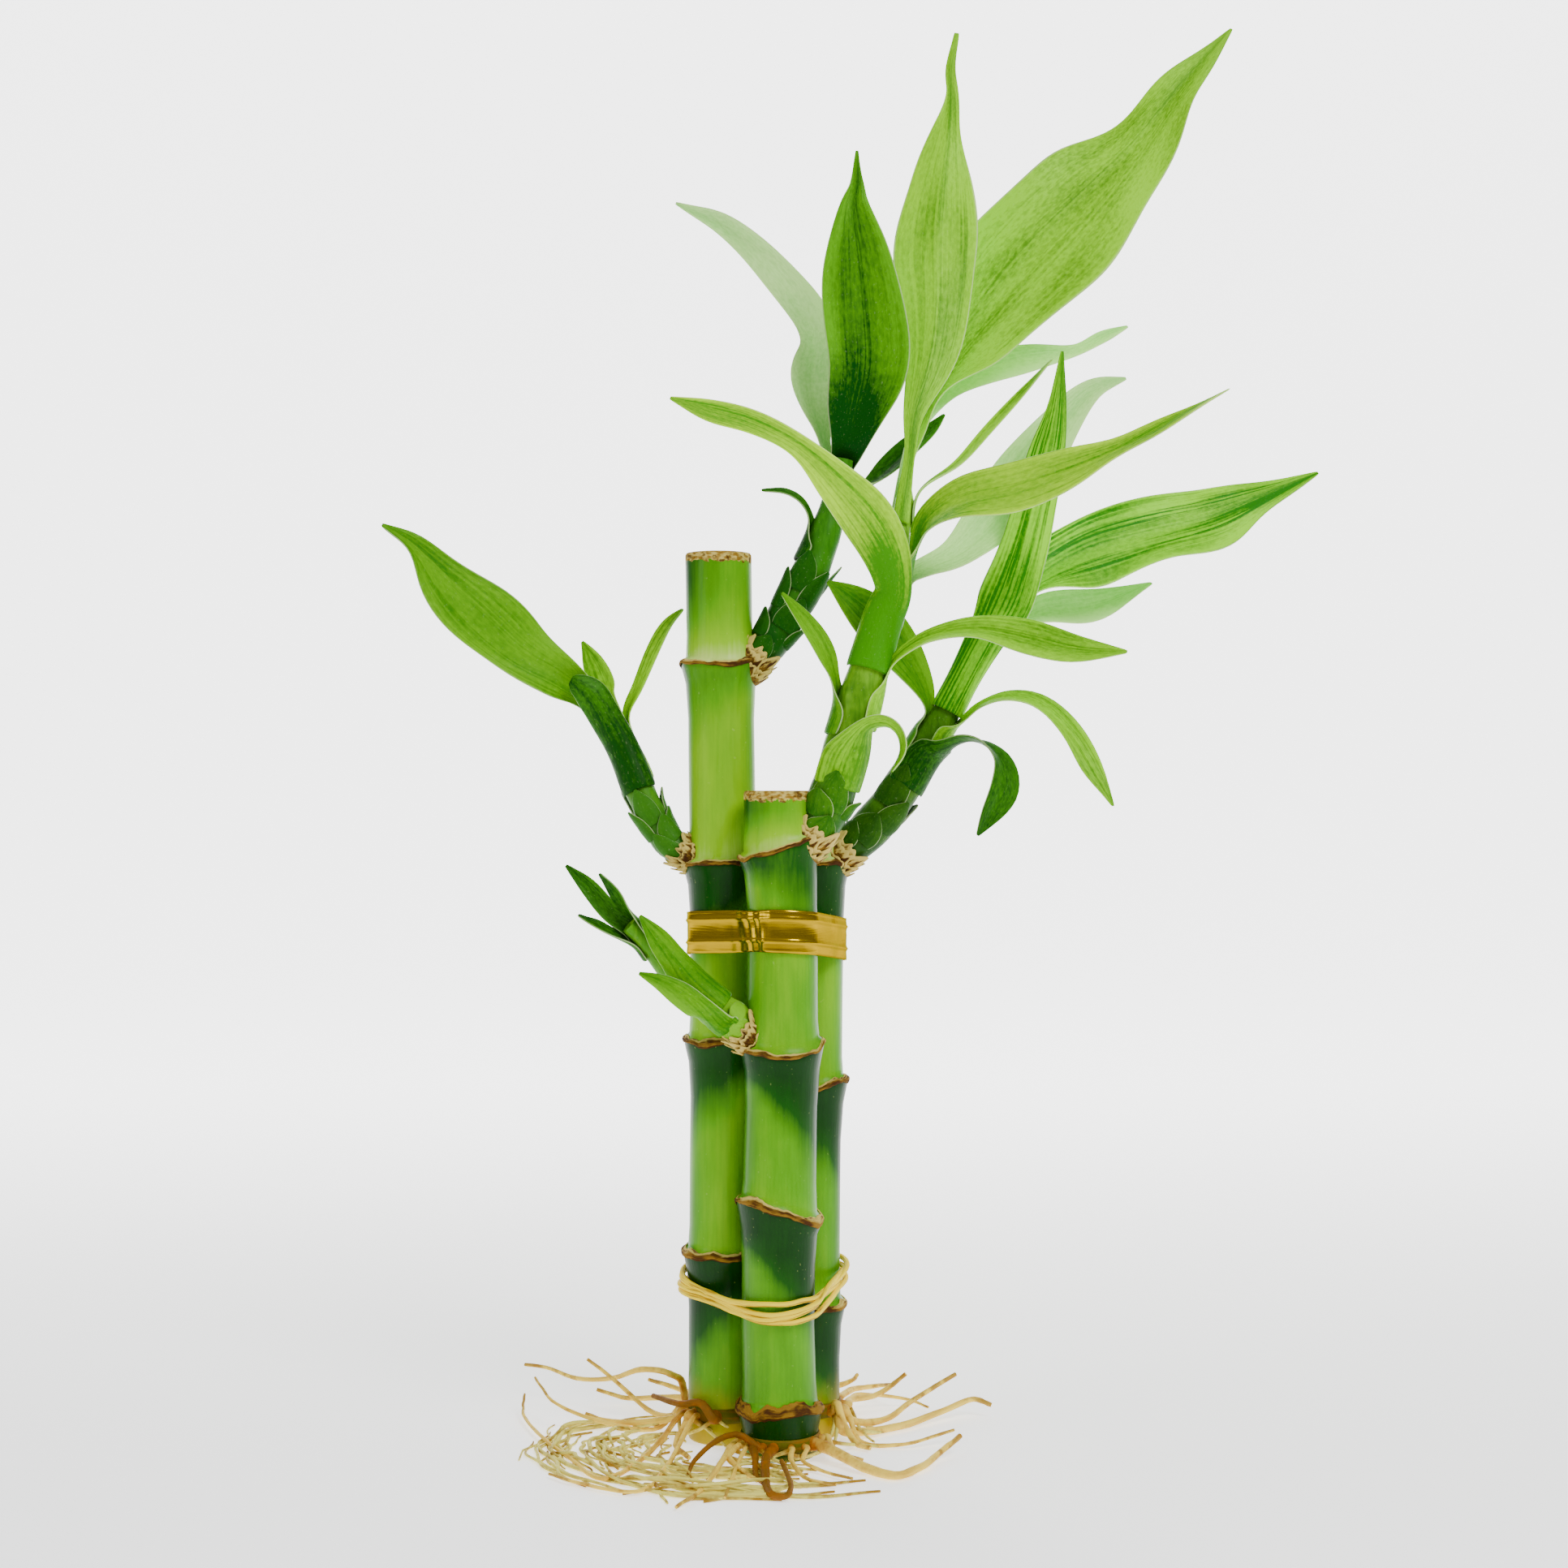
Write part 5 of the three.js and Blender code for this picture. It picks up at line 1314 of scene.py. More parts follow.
def tone_at(cane, height, angle):
    """How dark the skin is: pale above a node, bright half way, and dark under the next node."""
    nodes = cane["nodes"]
    # The lean draws the dark under a node further down one side: painted shade
    lean = cane["lean"] * math.cos(angle)
    tone = cane["tone"] + TONE_SWELL * math.sin(height / TONE_SWELL_LENGTH + nodes[0])
    # Painted shade on the cane's right and left sides
    tone += SIDE_PAINTED_SHADE * math.cos(angle) ** 4
    above = [i for i, node in enumerate(nodes) if node > height]
    below = [i for i, node in enumerate(nodes) if node <= height]
    if above:
        i = above[0]
        reach = DARK_REACH * (1 + LEAN_SHARE * lean) * mix(0.6, 1, cane["shades"][i])
        under = (nodes[i] - height) / reach
        tone += DARK_STRENGTH * cane["shades"][i] * (1 - smooth(0.15, 1, under))
    if below:
        i = below[-1]
        tone -= PALE_STRENGTH * cane["glows"][i] * math.exp((nodes[i] - height) / PALE_FADE)
    # Painted shade on the stub, towards its cut and most on its left
    if below and not above:
        up = smooth(nodes[-1] + 2, cane["height"] - 4, height)
        tone += STUB_PAINTED_SHADE * (1 - math.cos(angle)) * up
    # Darker towards the ground
    return clamp(tone + LOW_DARKENING * math.exp(-height / LOW_DARKENING_FADE))


def foot_at(cane, height):
    """How yellow the skin is near the ground."""
    worn = cane["nodes"][0] <= WORN_BELOW
    most, fade = WORN_FOOT_YELLOW if worn else FOOT_YELLOW
    return most - height / fade


def paint_cane(piece, cane):
    """Keeps the skin's tone with its painted shade, the cut top's dryness and the foot's yellow for
    the material.
    """
    layers = {
        name: piece.data.attributes.new(name, "FLOAT", "POINT")
        for name in ("tone", "dry", "foot")
    }
    for vertex in piece.data.vertices:
        point = vertex.co / MM
        angle = angle_round(cane, point)
        x, y, radius = cane_at(cane, point.z)
        inside = math.hypot(point.x - x, point.y - y) < radius - CRUST_RIM
        under_cut = cane["height"] - point.z
        dryness = 2.0 if inside else (CRUST_START - under_cut) / CRUST_LENGTH
        layers["tone"].data[vertex.index].value = tone_at(cane, point.z, angle)
        layers["dry"].data[vertex.index].value = dryness
        layers["foot"].data[vertex.index].value = foot_at(cane, point.z)


def wave_cane(piece, cane):
    """Waves each node after its scar, and makes the cane a little uneven, as a grown thing is."""
    for vertex in piece.data.vertices:
        point = vertex.co / MM
        angle = angle_round(cane, point)
        shift = 0.0
        for i, node in enumerate(cane["nodes"]):
            near = math.exp(-(((point.z - node) / SCAR_FALLOFF) ** 2))
            shift += near * scar_shift(cane, i, angle)
        x, y, _ = cane_at(cane, point.z)
        lump = 1 + LUMP_SHARE * ring_noise(angle, 1, point.z / LUMP_LENGTH + cane["height"])
        point.z += shift * smooth(0, 4, point.z)
        point.x = x + (point.x - x) * lump
        point.y = y + (point.y - y) * lump
        vertex.co = point * MM


def torn_edge(edge, angle, node):
    """How far a scar reaches at an angle round it, as a share of its width."""
    return 0.5 + sum(strong * ring_noise(angle, size, seed * node) for strong, size, seed in edge)


def scar_ring(name, cane, index):
    """The dry, ragged line where an old leaf left the cane."""
    node = cane["nodes"][index]
    wide = cane["scars"][index]

    def place(across, along):
        angle = TURN * across
        low = torn_edge(SCAR_LOW_EDGE, angle, node)
        high = torn_edge(SCAR_HIGH_EDGE, angle, node)
        above = wide * mix(-low, high, along)
        frayed = along * abs(ring_noise(angle, 8, 4 * node + 3 * along))
        bulge = math.sin(math.pi * min(along * 1.3, 1))
        proud = SCAR_PROUD + SCAR_BULGE * bulge + SCAR_FRAY * frayed
        point = beside_cane(cane, node + above, angle, proud)
        point.z += scar_shift(cane, index, angle)
        return point

    return laid_grid(name, 120, 7, place, wrapped=True)


class BAMBOO_OT_canes(bpy.types.Operator):
    """Make the three canes with their dry node scars"""

    bl_idname = "bamboo.canes"
    bl_label = "Canes"

    def execute(self, context):
        sizes = context.scene.bamboo_sizes
        colours = context.scene.cane_colours
        bark = waxy_cane(colours)
        sheath = dry_sheath("dry_node_scar", colours.papery, colours, (9, 3))
        worn = dry_sheath("worn_node_scar", colours.dry_light, colours, (9, 3))
        for name, cane in CANES.items():
            body = cane_body(f"cane_{name}_bark", cane)
            settle(body, [bark], "cane", f"cane_{name}")
            scars = [scar_ring(f"scar_{name}_{i}", cane, i) for i in range(len(cane["nodes"]))]
            for scar in scars:
                thicken(scar, sizes.sheath_thickness)
            whole = join(f"cane_{name}_scars", scars)
            subdivide(whole)
            settle(whole, [sheath, worn], "dry_sheath")
            for face in whole.data.polygons:
                face.material_index = int(face.center.z < WORN_BELOW * MM)
        return {"FINISHED"}


# Band and tie

WRAP_POINTS = 220
WRAP_DIRECTIONS = 720
# The length over which the creases and the fraying change
CREASE_LENGTH = 5

# The band's height, how far its loop is off the skin, how far its section is off the loop, and how
# deep its creases are
BAND_HEIGHT = 9.6
BAND_CLEARANCE = 0.45
BAND_LIFT = 0.1
BAND_CREASE = 0.16

# Section of the band from its lower edge up: share of its height, and how far it stands out
BAND_SECTION = [
    [0, 0.05],
    [0.06, 0.1],
    [0.2, 0],
    [0.24, 0.12],
    [0.27, 0.42],
    [0.31, 0.12],
    [0.36, 0],
    [0.6, 0.05],
    [0.7, 0.02],
    [0.76, 0.14],
    [0.8, 0.42],
    [0.84, 0.14],
    [0.94, 0.06],
    [1, 0.12],
]

# The band is pinched where it leaves the front cane for the tall one, and only in front: how far
# it is drawn in, how much more or less that is at a fold, and how far its edges draw together
PINCH_PIXEL = 928
PINCH_DEPTH = -6
PINCH_WIDTH = 3.0
PINCH_IN = 0.25
PINCH_FOLD = 0.2
PINCH_TOGETHER = 0.05
FRONT_OF_BUNDLE = 8

# Each strand of the tie: its height above the loop's middle, how far it wanders up and down and
# in and out, how many times it does so, and the angle where it starts
TIE_STRANDS = [
    [1.5, 0.7, 0.35, 3, 0.4],
    [0.5, 0.9, 0.4, 2, 2.6],
    [-0.5, 0.9, 0.4, 3, 4.7],
    [-1.6, 0.6, 0.2, 2, 1.2],
]
TIE_SLACK = 0.45
# How much a strand frays up and down, and how much its radius changes
TIE_FRAY = 0.25
TIE_UNEVEN = 0.12
TIE_UNEVEN_LENGTH = 4


def tilted(height, rise_away, rise_right):
    """A loop's height at each place: its middle height, and how it rises away and to the right."""
    return lambda x, y: height + rise_away * y + rise_right * x


BAND_LEVEL = tilted(116.5, -0.115, -0.035)
TIE_LEVEL = tilted(34.6, 0.14, 0.03)


def wrap_loop(level, offset):
    """A tight loop round all three canes at a tilted height, as evenly spaced points."""
    corners = []
    for i in range(WRAP_DIRECTIONS):
        angle = TURN * i / WRAP_DIRECTIONS
        out = Vector((math.cos(angle), math.sin(angle)))
        best = (-math.inf, None)
        for cane in CANES.values():
            x, y, radius = cane_at(cane, level(*cane["foot"]))
            reach = x * out.x + y * out.y + radius
            if reach > best[0]:
                best = (reach, Vector((x, y)) + out * (radius + offset))
        corners.append(best[1])
    corners.append(corners[0])
    lengths = [0.0]
    for here, after in zip(corners, corners[1:]):
        lengths.append(lengths[-1] + (after - here).length)
    points = []
    i = 0
    for k in range(WRAP_POINTS):
        target = lengths[-1] * k / WRAP_POINTS
        while lengths[i + 1] < target:
            i += 1
        share = (target - lengths[i]) / max(lengths[i + 1] - lengths[i], 1e-9)
        points.append(corners[i].lerp(corners[i + 1], share))
    return points


def loop_direction(points, i):
    """The way out of a loop at one of its points."""
    along = points[(i + 1) % len(points)] - points[i - 1]
    return Vector((along.y, -along.x)).normalized()


def wrap_noise(at, seed, size=CREASE_LENGTH):
    return noise.noise(Vector((at.x / size, at.y / size, seed)))


def foil_band(thickness):
    """The band with its two raised ribs, creased all round and pinched in front."""
    loop = wrap_loop(BAND_LEVEL, BAND_CLEARANCE)
    pinch = seen(PINCH_PIXEL, 0, PINCH_DEPTH).x

    def place(across, along):
        i = round(across * WRAP_POINTS) % WRAP_POINTS
        at = loop[i]
        share, proud = BAND_SECTION[round(along * (len(BAND_SECTION) - 1))]
        crease = BAND_CREASE * wrap_noise(at, share * 1.5)
        near = 0.0
        if at.y < FRONT_OF_BUNDLE:
            near = math.exp(-(((at.x - pinch) / PINCH_WIDTH) ** 2))
        crease -= near * (PINCH_IN + PINCH_FOLD * math.sin(2.4 * at.x + 4 * share))
        spot = at + loop_direction(loop, i) * (proud + crease + BAND_LIFT)
        above = (share - 0.5) * BAND_HEIGHT * (1 - PINCH_TOGETHER * near)
        return Vector((spot.x, spot.y, BAND_LEVEL(at.x, at.y) + above))

    piece = laid_grid("gold_foil_band", WRAP_POINTS, len(BAND_SECTION) - 1, place, wrapped=True)
    thicken(piece, thickness)
    return piece


def raffia_tie(radius):
    """Four strands that go round the canes and wander over and under each other."""
    radius /= MM
    loop = wrap_loop(TIE_LEVEL, CLEARANCE + radius + TIE_SLACK)
    paths = []
    for lift, wander, depth, times, start in TIE_STRANDS:
        path = []
        for i, at in enumerate(loop):
            swing = TURN * times * i / WRAP_POINTS + start
            spot = at + loop_direction(loop, i) * depth * math.cos(swing)
            height = TIE_LEVEL(at.x, at.y) + lift + wander * math.sin(swing)
            height += TIE_FRAY * wrap_noise(at, start)
            slim = radius * (1 + TIE_UNEVEN * wrap_noise(at, start + 5, TIE_UNEVEN_LENGTH))
            path.append((Vector((spot.x, spot.y, height)), slim))
        paths.append(path)
    return strands("raffia_strands", paths, 4, closed=True)


class BAMBOO_OT_foil_band(bpy.types.Operator):
    """Make the gold foil band round the canes"""

    bl_idname = "bamboo.foil_band"
    bl_label = "Foil band"

    def execute(self, context):
        band = foil_band(context.scene.bamboo_sizes.foil_thickness)
        settle(band, [gold_foil(context.scene.trim_colours)], "gold_foil", "gold_band")
        return {"FINISHED"}


class BAMBOO_OT_raffia_tie(bpy.types.Operator):
    """Make the twisted raffia tie round the canes"""

    bl_idname = "bamboo.raffia_tie"
    bl_label = "Raffia tie"

    def execute(self, context):
        tie = raffia_tie(context.scene.bamboo_sizes.strand_radius)
        settle(tie, [raffia(context.scene.trim_colours)], "raffia", "raffia_tie")
        return {"FINISHED"}


# Blades, for leaves and for the scales of the shoots

TOWARD_VIEWER = Vector((0, -1, 0))
LEAST_WIDTH = 0.35
MIDRIB_WIDTH = 2.5
# Where a blade is free to ripple: shares of its length between which that starts and ends
FREE_FROM = (0.2, 0.45)
FREE_TO = (0.85, 1)
# The ripple of its edges in the blade's own plane: its size and number of waves against the other's
FRILL_SHARE = 0.6
FRILL_WAVES = 1.3
# The pattern of a blade's flesh is shifted by the blade's name, so that neighbours differ.
PATTERN_SHIFTS = 17
PATTERN_SHIFT = 40


def blade_frame(along, turn):
    """The blade's own directions: across it, and out of its upper side.

    A turn of 0 shows the upper side to the viewer, and 180 the underside.
    """
    across = along.cross(TOWARD_VIEWER).normalized()
    face = across.cross(along)
    angle = math.radians(turn)
    return (
        across * math.cos(angle) + face * math.sin(angle),
        face * math.cos(angle) - across * math.sin(angle),
    )


def blade_surface(stations, ripple=0.0, groove=0.0, waves=3.0, phase=0.0):
    """The surface of a blade through stations of point, width, turn and curl.

    Its edges ripple, and a shallow groove runs along its midrib.
    """
    points = [station["at"] for station in stations]
    forms = [Vector((station["width"], station["turn"], station["curl"])) for station in stations]

    @functools.lru_cache(maxsize=None)
    def section(along):
        form = curve_point(forms, along, even=True)
        width = max(form.x, LEAST_WIDTH)
        curl = math.radians(max(form.z, 1))
        across, face = blade_frame(curve_tangent(points, along, even=True), form.y)
        return curve_point(points, along, even=True), across, face, width, curl

    def place(share, along):
        at, across, face, width, curl = section(along)
        side = 2 * share - 1
        angle = side * curl / 2
        bend = width / curl
        free = smooth(*FREE_FROM, along) * (1 - smooth(*FREE_TO, along))
        lift = ripple * free * side * side * math.sin(TURN * waves * along + phase + side)
        lift -= groove * free * math.exp(-((side * width / MIDRIB_WIDTH) ** 2))
        sway = math.sin(TURN * FRILL_WAVES * waves * along + phase + 1.6 * side)
        frill = FRILL_SHARE * ripple * free * side * abs(side) * sway
        aside = bend * math.sin(angle) + frill
        return at + across * aside + face * (bend * (1 - math.cos(angle)) + lift)

    return place


def blade_piece(name, stations, columns, rows, thickness, **shape):
    """A thin blade whose upper side takes the first material and whose underside takes the second.

    It keeps its own measures in millimetres, across and along, for the pattern of its flesh.
    """
    piece = laid_grid(name, columns, rows, blade_surface(stations, **shape))
    widest = max(station["width"] for station in stations)
    long = course_length([station["at"] for station in stations])
    shift = PATTERN_SHIFT * (sum(map(ord, name)) % PATTERN_SHIFTS)
    layer = piece.data.attributes.new("blade_mm", "FLOAT_VECTOR", "POINT")
    for loop, uv in zip(piece.data.loops, piece.data.uv_layers.active.data):
        across, along = uv.uv
        layer.data[loop.vertex_index].vector = (across * widest + shift, along * long, shift)
    piece.data.materials.clear()
    thicken(piece, thickness, material_offset=1, material_offset_rim=1)
    return piece


# Shoots

STEM_RINGS = 40
# How far a stem swells where its old sheaths end, and the angle that its swells run through
SHEATH_SWELL = 0.03
SHEATH_ANGLE = 40

SCALE_WRAP = 110
SCALE_CLEARANCE = 0.15

# A scale from root to tip: place, share of its width, curl, and how far it stands off the stem
SCALE_SHAPE = [
    [0, 1.0, SCALE_WRAP, 0],
    [0.3, 1.1, 105, 0.25],
    [0.65, 0.85, 90, 0.5],
    [1, 0.08, 40, 1.0],
]

# Each layer of a torn collar: share of its reach, how ragged, how far out, and its seed
COLLAR_LAYERS = [
    [1.0, 1.0, 0.35, 1],
    [0.75, 1.4, 0.75, 5],
    [0.5, 1.6, 1.2, 9],
]
LEAST_COLLAR = 0.02
COLLAR_FLARE = 0.8


def stem_axis(stem):
    """The points of a stem's axis, and its radius at each."""
    points = [seen(px, py, depth) for px, py, depth, _ in stem["points"]]
    return points, [point[3] for point in stem["points"]]


def stem_body(name, stem):
    """A shoot's round stem, a little swollen where its old sheaths end."""
    points, radii = stem_axis(stem)
    path = []
    for i in range(STEM_RINGS + 1):
        share = i / STEM_RINGS
        swell = 1 + SHEATH_SWELL * math.sin(share * SHEATH_ANGLE)
        path.append((curve_point(points, share), between(radii, share) * swell))
    return strands(name, [path], 7)


def clasp_station(stem, share, side, wrap, clearance):
    """A station of a blade that clasps the stem on one side, clear of the stem's skin."""
    points, radii = stem_axis(stem)
    turn = side + 90
    _, face = blade_frame(curve_tangent(points, share), turn)
    reach = between(radii, share) + clearance
    at = curve_point(points, share) - face * reach
    return {"at": at, "width": math.radians(wrap) * reach, "turn": turn, "curl": wrap}


def stem_scale(name, stem, scale, thickness):
    """A small old scale that lies on its stem, with its tip standing off."""
    share, side, long, width, stand_off = scale
    reach = long / course_length(stem_axis(stem)[0])
    stations = []
    for place, broad, curl, off in SCALE_SHAPE:
        away = SCALE_CLEARANCE + off * stand_off
        station = clasp_station(stem, share + place * reach, side, SCALE_WRAP, away)
        station.update(width=broad * width, curl=curl)
        stations.append(station)
    return blade_piece(name, stations, 8, 12, thickness)


def torn_collar(name, stem):
    """The torn papery cup round the root of a shoot, in loose layers."""
    points, radii = stem_axis(stem)
    reach, ragged = stem["collar"]
    layers = []
    for share_of_reach, wild, out, seed in COLLAR_LAYERS:

        def place(across, along):
            angle = TURN * across
            torn = ring_noise(angle, 2.2, seed)
            fine = ring_noise(angle, 6, seed)
            top = reach * share_of_reach + 2 * ragged * wild * (torn + 0.35 * fine)
            share = clamp(along * max(top, LEAST_COLLAR))
            side, face = blade_frame(curve_tangent(points, share), 0)
            away = between(radii, share) + out + COLLAR_FLARE * along * along * (0.5 + torn)
            spot = curve_point(points, share)
            return spot + side * (away * math.cos(angle)) + face * (away * math.sin(angle))

        layers.append(laid_grid(f"{name}_{seed}", 96, 8, place, wrapped=True))
    return layers


class BAMBOO_OT_shoots(bpy.types.Operator):
    """Make the five stems with their overlapping scales"""

    bl_idname = "bamboo.shoots"
    bl_label = "Shoots"

    def execute(self, context):
        sizes = context.scene.bamboo_sizes
        colours = context.scene.stem_colours
        rim = context.scene.leaf_colours.rim
        for name, stem in STEMS.items():
            low = getattr(colours, f"{name}_low")
            high = getattr(colours, f"{name}_high")
            flesh = Vector(low).lerp(Vector(high), 0.2)
            skin = green_stem(f"waxy_shoot_{name}", low, high, rim)
            scale_skin = living_leaf(
                f"old_scale_{name}", flesh, low, rim, sizes.vein_spacing,
                contrast=0.5, foot_shade=0.5, mottling=0.4,
            )
            body = stem_body(f"shoot_{name}", stem)
            settle(body, [skin], "shoot_stem", f"stem_{name}")
            scales = [
                stem_scale(f"scale_{name}_{i}", stem, scale, sizes.blade_thickness)
                for i, scale in enumerate(stem["scales"])
            ]
            whole = join(f"shoot_{name}_scales", scales)
            subdivide(whole)
            settle(whole, [scale_skin], "shoot_stem")
        return {"FINISHED"}


class BAMBOO_OT_collars(bpy.types.Operator):
    """Make the torn papery collars at the feet of the shoots"""

    bl_idname = "bamboo.collars"
    bl_label = "Dry collars"

    def execute(self, context):
        colours = context.scene.cane_colours
        sheath = dry_sheath("dry_torn_collar", colours.papery, colours, (24, 2))
        for name, stem in STEMS.items():
            layers = torn_collar(f"collar_{name}", stem)
            for layer in layers:
                thicken(layer, context.scene.bamboo_sizes.sheath_thickness)
            whole = join(f"torn_collar_{name}", layers)
            settle(whole, [sheath], "dry_sheath", f"dry_collar_{name}")
        return {"FINISHED"}


# Leaves

# The strength of a look's veins, the shade of its foot and of its mottling, and its slot
LEAF_LOOKS = {
    "great": [0.35, -0.15, 0.32, "young_leaf"],
    "tender": [0.5, 0.3, 0.2, "young_leaf"],
    "deep": [0.35, 1.2, 0.16, "dark_leaf"],
    "bright": [0.4, 0.9, 0.14, "young_leaf"],
    "striped": [0.95, 0.3, 0.15, "young_leaf"],
    "old": [0.5, 0.5, 0.4, "dark_leaf"],
    "glossy": [0.45, 0.4, 0.18, "young_leaf"],
    "pale": [0.3, 0.4, 0.25, "pale_leaf"],
}

CLASP_CLEARANCE = 0.66
ROW_GAP = 3.0
FEWEST_ROWS = 16
# A leaf that is broader than these has more columns, and a deeper groove.
BROAD_LEAF = 12
GROOVED_LEAF = 8
RIPPLE_LENGTH = 38


def leaf_stations(stem, clasp, blade):
    """A leaf's stations: two that clasp its stem, then those of its blade."""
    start, end, side, wrap = clasp
    root = clasp_station(stem, start, side, wrap, CLASP_CLEARANCE)
    rim = clasp_station(stem, end, side, wrap, CLASP_CLEARANCE)
    whole_turns = 360 * round((root["turn"] - blade[0][4]) / 360)
    outer = [
        {"at": seen(px, py, depth), "width": width, "turn": turn + whole_turns, "curl": curl}
        for px, py, depth, width, turn, curl in blade
    ]
    return [root, rim] + outer


def leaf_piece(name, stations, thickness, ripple):
    long = course_length([station["at"] for station in stations])
    widest = max(station["width"] for station in stations)
    piece = blade_piece(
        f"{name}_blade", stations,
        columns=12 if widest > BROAD_LEAF else 8,
        rows=max(FEWEST_ROWS, round(long / ROW_GAP)),
        thickness=thickness, ripple=ripple,
        groove=0.35 if widest > GROOVED_LEAF else 0.15,
        waves=long / RIPPLE_LENGTH,
        phase=sum(map(ord, name)) % 7,
    )
    subdivide(piece)
    return piece


class BAMBOO_OT_leaves(bpy.types.Operator):
    """Make the leaves of all five shoots"""

    bl_idname = "bamboo.leaves"
    bl_label = "Leaves"

    def execute(self, context):
        sizes = context.scene.bamboo_sizes
        colours = context.scene.leaf_colours
        skins = {}
        for look, (contrast, foot_shade, mottling, _) in LEAF_LOOKS.items():
            skins[look] = living_leaf(
                f"{look}_leaf_skin", getattr(colours, look), getattr(colours, f"{look}_vein"),
                colours.rim, sizes.vein_spacing, contrast, foot_shade, mottling,
            )
        for name, (clasp, upper, under, ripple, blade) in LEAVES.items():
            stem = STEMS[name.split("_")[1]]
            stations = leaf_stations(stem, clasp, blade)
            piece = leaf_piece(name, stations, sizes.blade_thickness, ripple)
            slot = LEAF_LOOKS[upper][-1]
            settle(piece, [skins[upper], skins[under]], slot, name)
        return {"FINISHED"}


# Roots

# A root starts inside the crown and leaves it square: how far its first points are from the cane
ROOT_EXITS = [-0.6, 0.3, 1.6]
ROOT_STEP = 1.3
# How far a root wanders off its course, and how its radius changes from knob to knob and to its tip
ROOT_WOBBLE = 0.35
WOBBLE_LENGTH = 4
KNOB_SIZE = 0.14
KNOB_LENGTH = 1.6
ROOT_START_SHARE = 1.15
ROOT_TIP_SHARE = 0.4
GROUND_CLEARANCE = 0.05
# The roots that leave between these angles, toward the viewer, are the oldest and brownest.
OLD_ROOT_ANGLES = (-130, -85)

# A rootlet's steps, its thickness against the thickest root, how much it turns at each step, always
# the same way and then at random, and the share of its height that it keeps
ROOTLETS_PER_TUFT = 14
ROOTLET_STEPS = (9, 16)
ROOTLET_STEP = 1.1
ROOTLET_SHARE = 0.4
ROOTLET_BEND = 0.12
ROOTLET_WANDER = 0.15
ROOTLET_FALL = 0.86

# The crown's wall, how far it is off the cane, how much it swells from its hollows to its lumps,
# and how far it reaches past the roots
CROWN_WALL = 0.3
CROWN_GAP = 0.05
CROWN_SWELL = (0.15, 0.75)
CROWN_MARGIN = 0.3

# The mat of fine roots lies in arcs round the feet: its middle, the arcs' reach, and the sector
# in degrees where they start (0 right, 90 away, 180 left, 270 toward the viewer).
MAT_CENTRE = (-8.0, 2.0)
MAT_REACH = (17.0, 42.0)
MAT_SECTOR = (150.0, 290.0)
# How much wider than deep the mat is, and the edges that no hair passes
MAT_STRETCH = (1.15, 0.92)
MAT_EDGES = ((-58, 50), (-39, 45))
# How far a hair leaves its arc: most of them, and the strays, which cross the others
HAIR_DRIFT = 6
STRAY_DRIFT = 16
STRAY_SHARE = 0.4
# How far round a hair goes, in degrees, and how high it rises: a few of them, and those that lie
HAIR_SWEEP = (25, 75)
HIGHEST_RISE = 2.5
RISING_SHARE = 0.3
LYING_RISE = 0.2
HAIR_STEPS = 22
HAIR_WANDER = 3.5


def root_path(cane, crown, root, thickest, rng):
    """A root's points and radii: square out of the crown, then bending over to its own course."""
    angle, thickness, course = root
    turn = math.radians(angle)
    guide = [beside_cane(cane, sum(crown) / 2, turn, CLEARANCE + away) for away in ROOT_EXITS]
    guide += [seen_at_height(*point) for point in course]
    long = course_length(guide)
    steps = max(14, round(long / ROOT_STEP))
    seed = rng.uniform(0, 50)
    path = []
    for i in range(steps + 1):
        share = i / steps
        at = curve_point(guide, share)
        wobble = smooth(0.1, 0.4, share) * ROOT_WOBBLE
        at.x += wobble * noise.noise(Vector((share * long / WOBBLE_LENGTH, seed, 0)))
        at.y += wobble * noise.noise(Vector((share * long / WOBBLE_LENGTH, seed, 9)))
        knob = 1 + KNOB_SIZE * noise.noise(Vector((share * long / KNOB_LENGTH, seed, 4)))
        taper = mix(ROOT_START_SHARE, ROOT_TIP_SHARE, share ** 0.8)
        radius = thickest * thickness * taper * knob
        at.z = max(at.z, radius + GROUND_CLEARANCE)
        path.append((at, radius))
    return path


def is_old(root):
    low, high = OLD_ROOT_ANGLES
    return low < root[0] < high


def side_root(path, rng, thickest):
    """A thin rootlet that leaves a root half way and settles on the ground."""
    at = path[rng.randrange(len(path) // 4, 3 * len(path) // 4)][0].copy()
    heading = rng.uniform(0, TURN)
    bend = rng.uniform(-ROOTLET_BEND, ROOTLET_BEND)
    points = []
    steps = rng.randrange(*ROOTLET_STEPS)
    for i in range(steps):
        radius = thickest * ROOTLET_SHARE * mix(1, 0.5, i / steps)
        points.append((at.copy(), radius))
        heading += bend + rng.uniform(-ROOTLET_WANDER, ROOTLET_WANDER)
        at += Vector((math.cos(heading), math.sin(heading), 0)) * ROOTLET_STEP
        at.z = max(at.z * ROOTLET_FALL, radius + GROUND_CLEARANCE)
    return points


def crown_ring(name, cane, crown, rng):
    """The swollen ring that the roots burst out of."""
    low, high = crown
    seed = rng.uniform(0, 50)

    def place(across, along):
        angle = TURN * across
        lump = 0.5 + 0.5 * ring_noise(angle, 4, seed)
        height = mix(low - CROWN_MARGIN, high + CROWN_MARGIN, along)
        away = CROWN_GAP + math.sin(math.pi * along) * mix(*CROWN_SWELL, lump)
        return beside_cane(cane, height, angle, away)

    return laid_grid(name, 48, 6, place, wrapped=True)


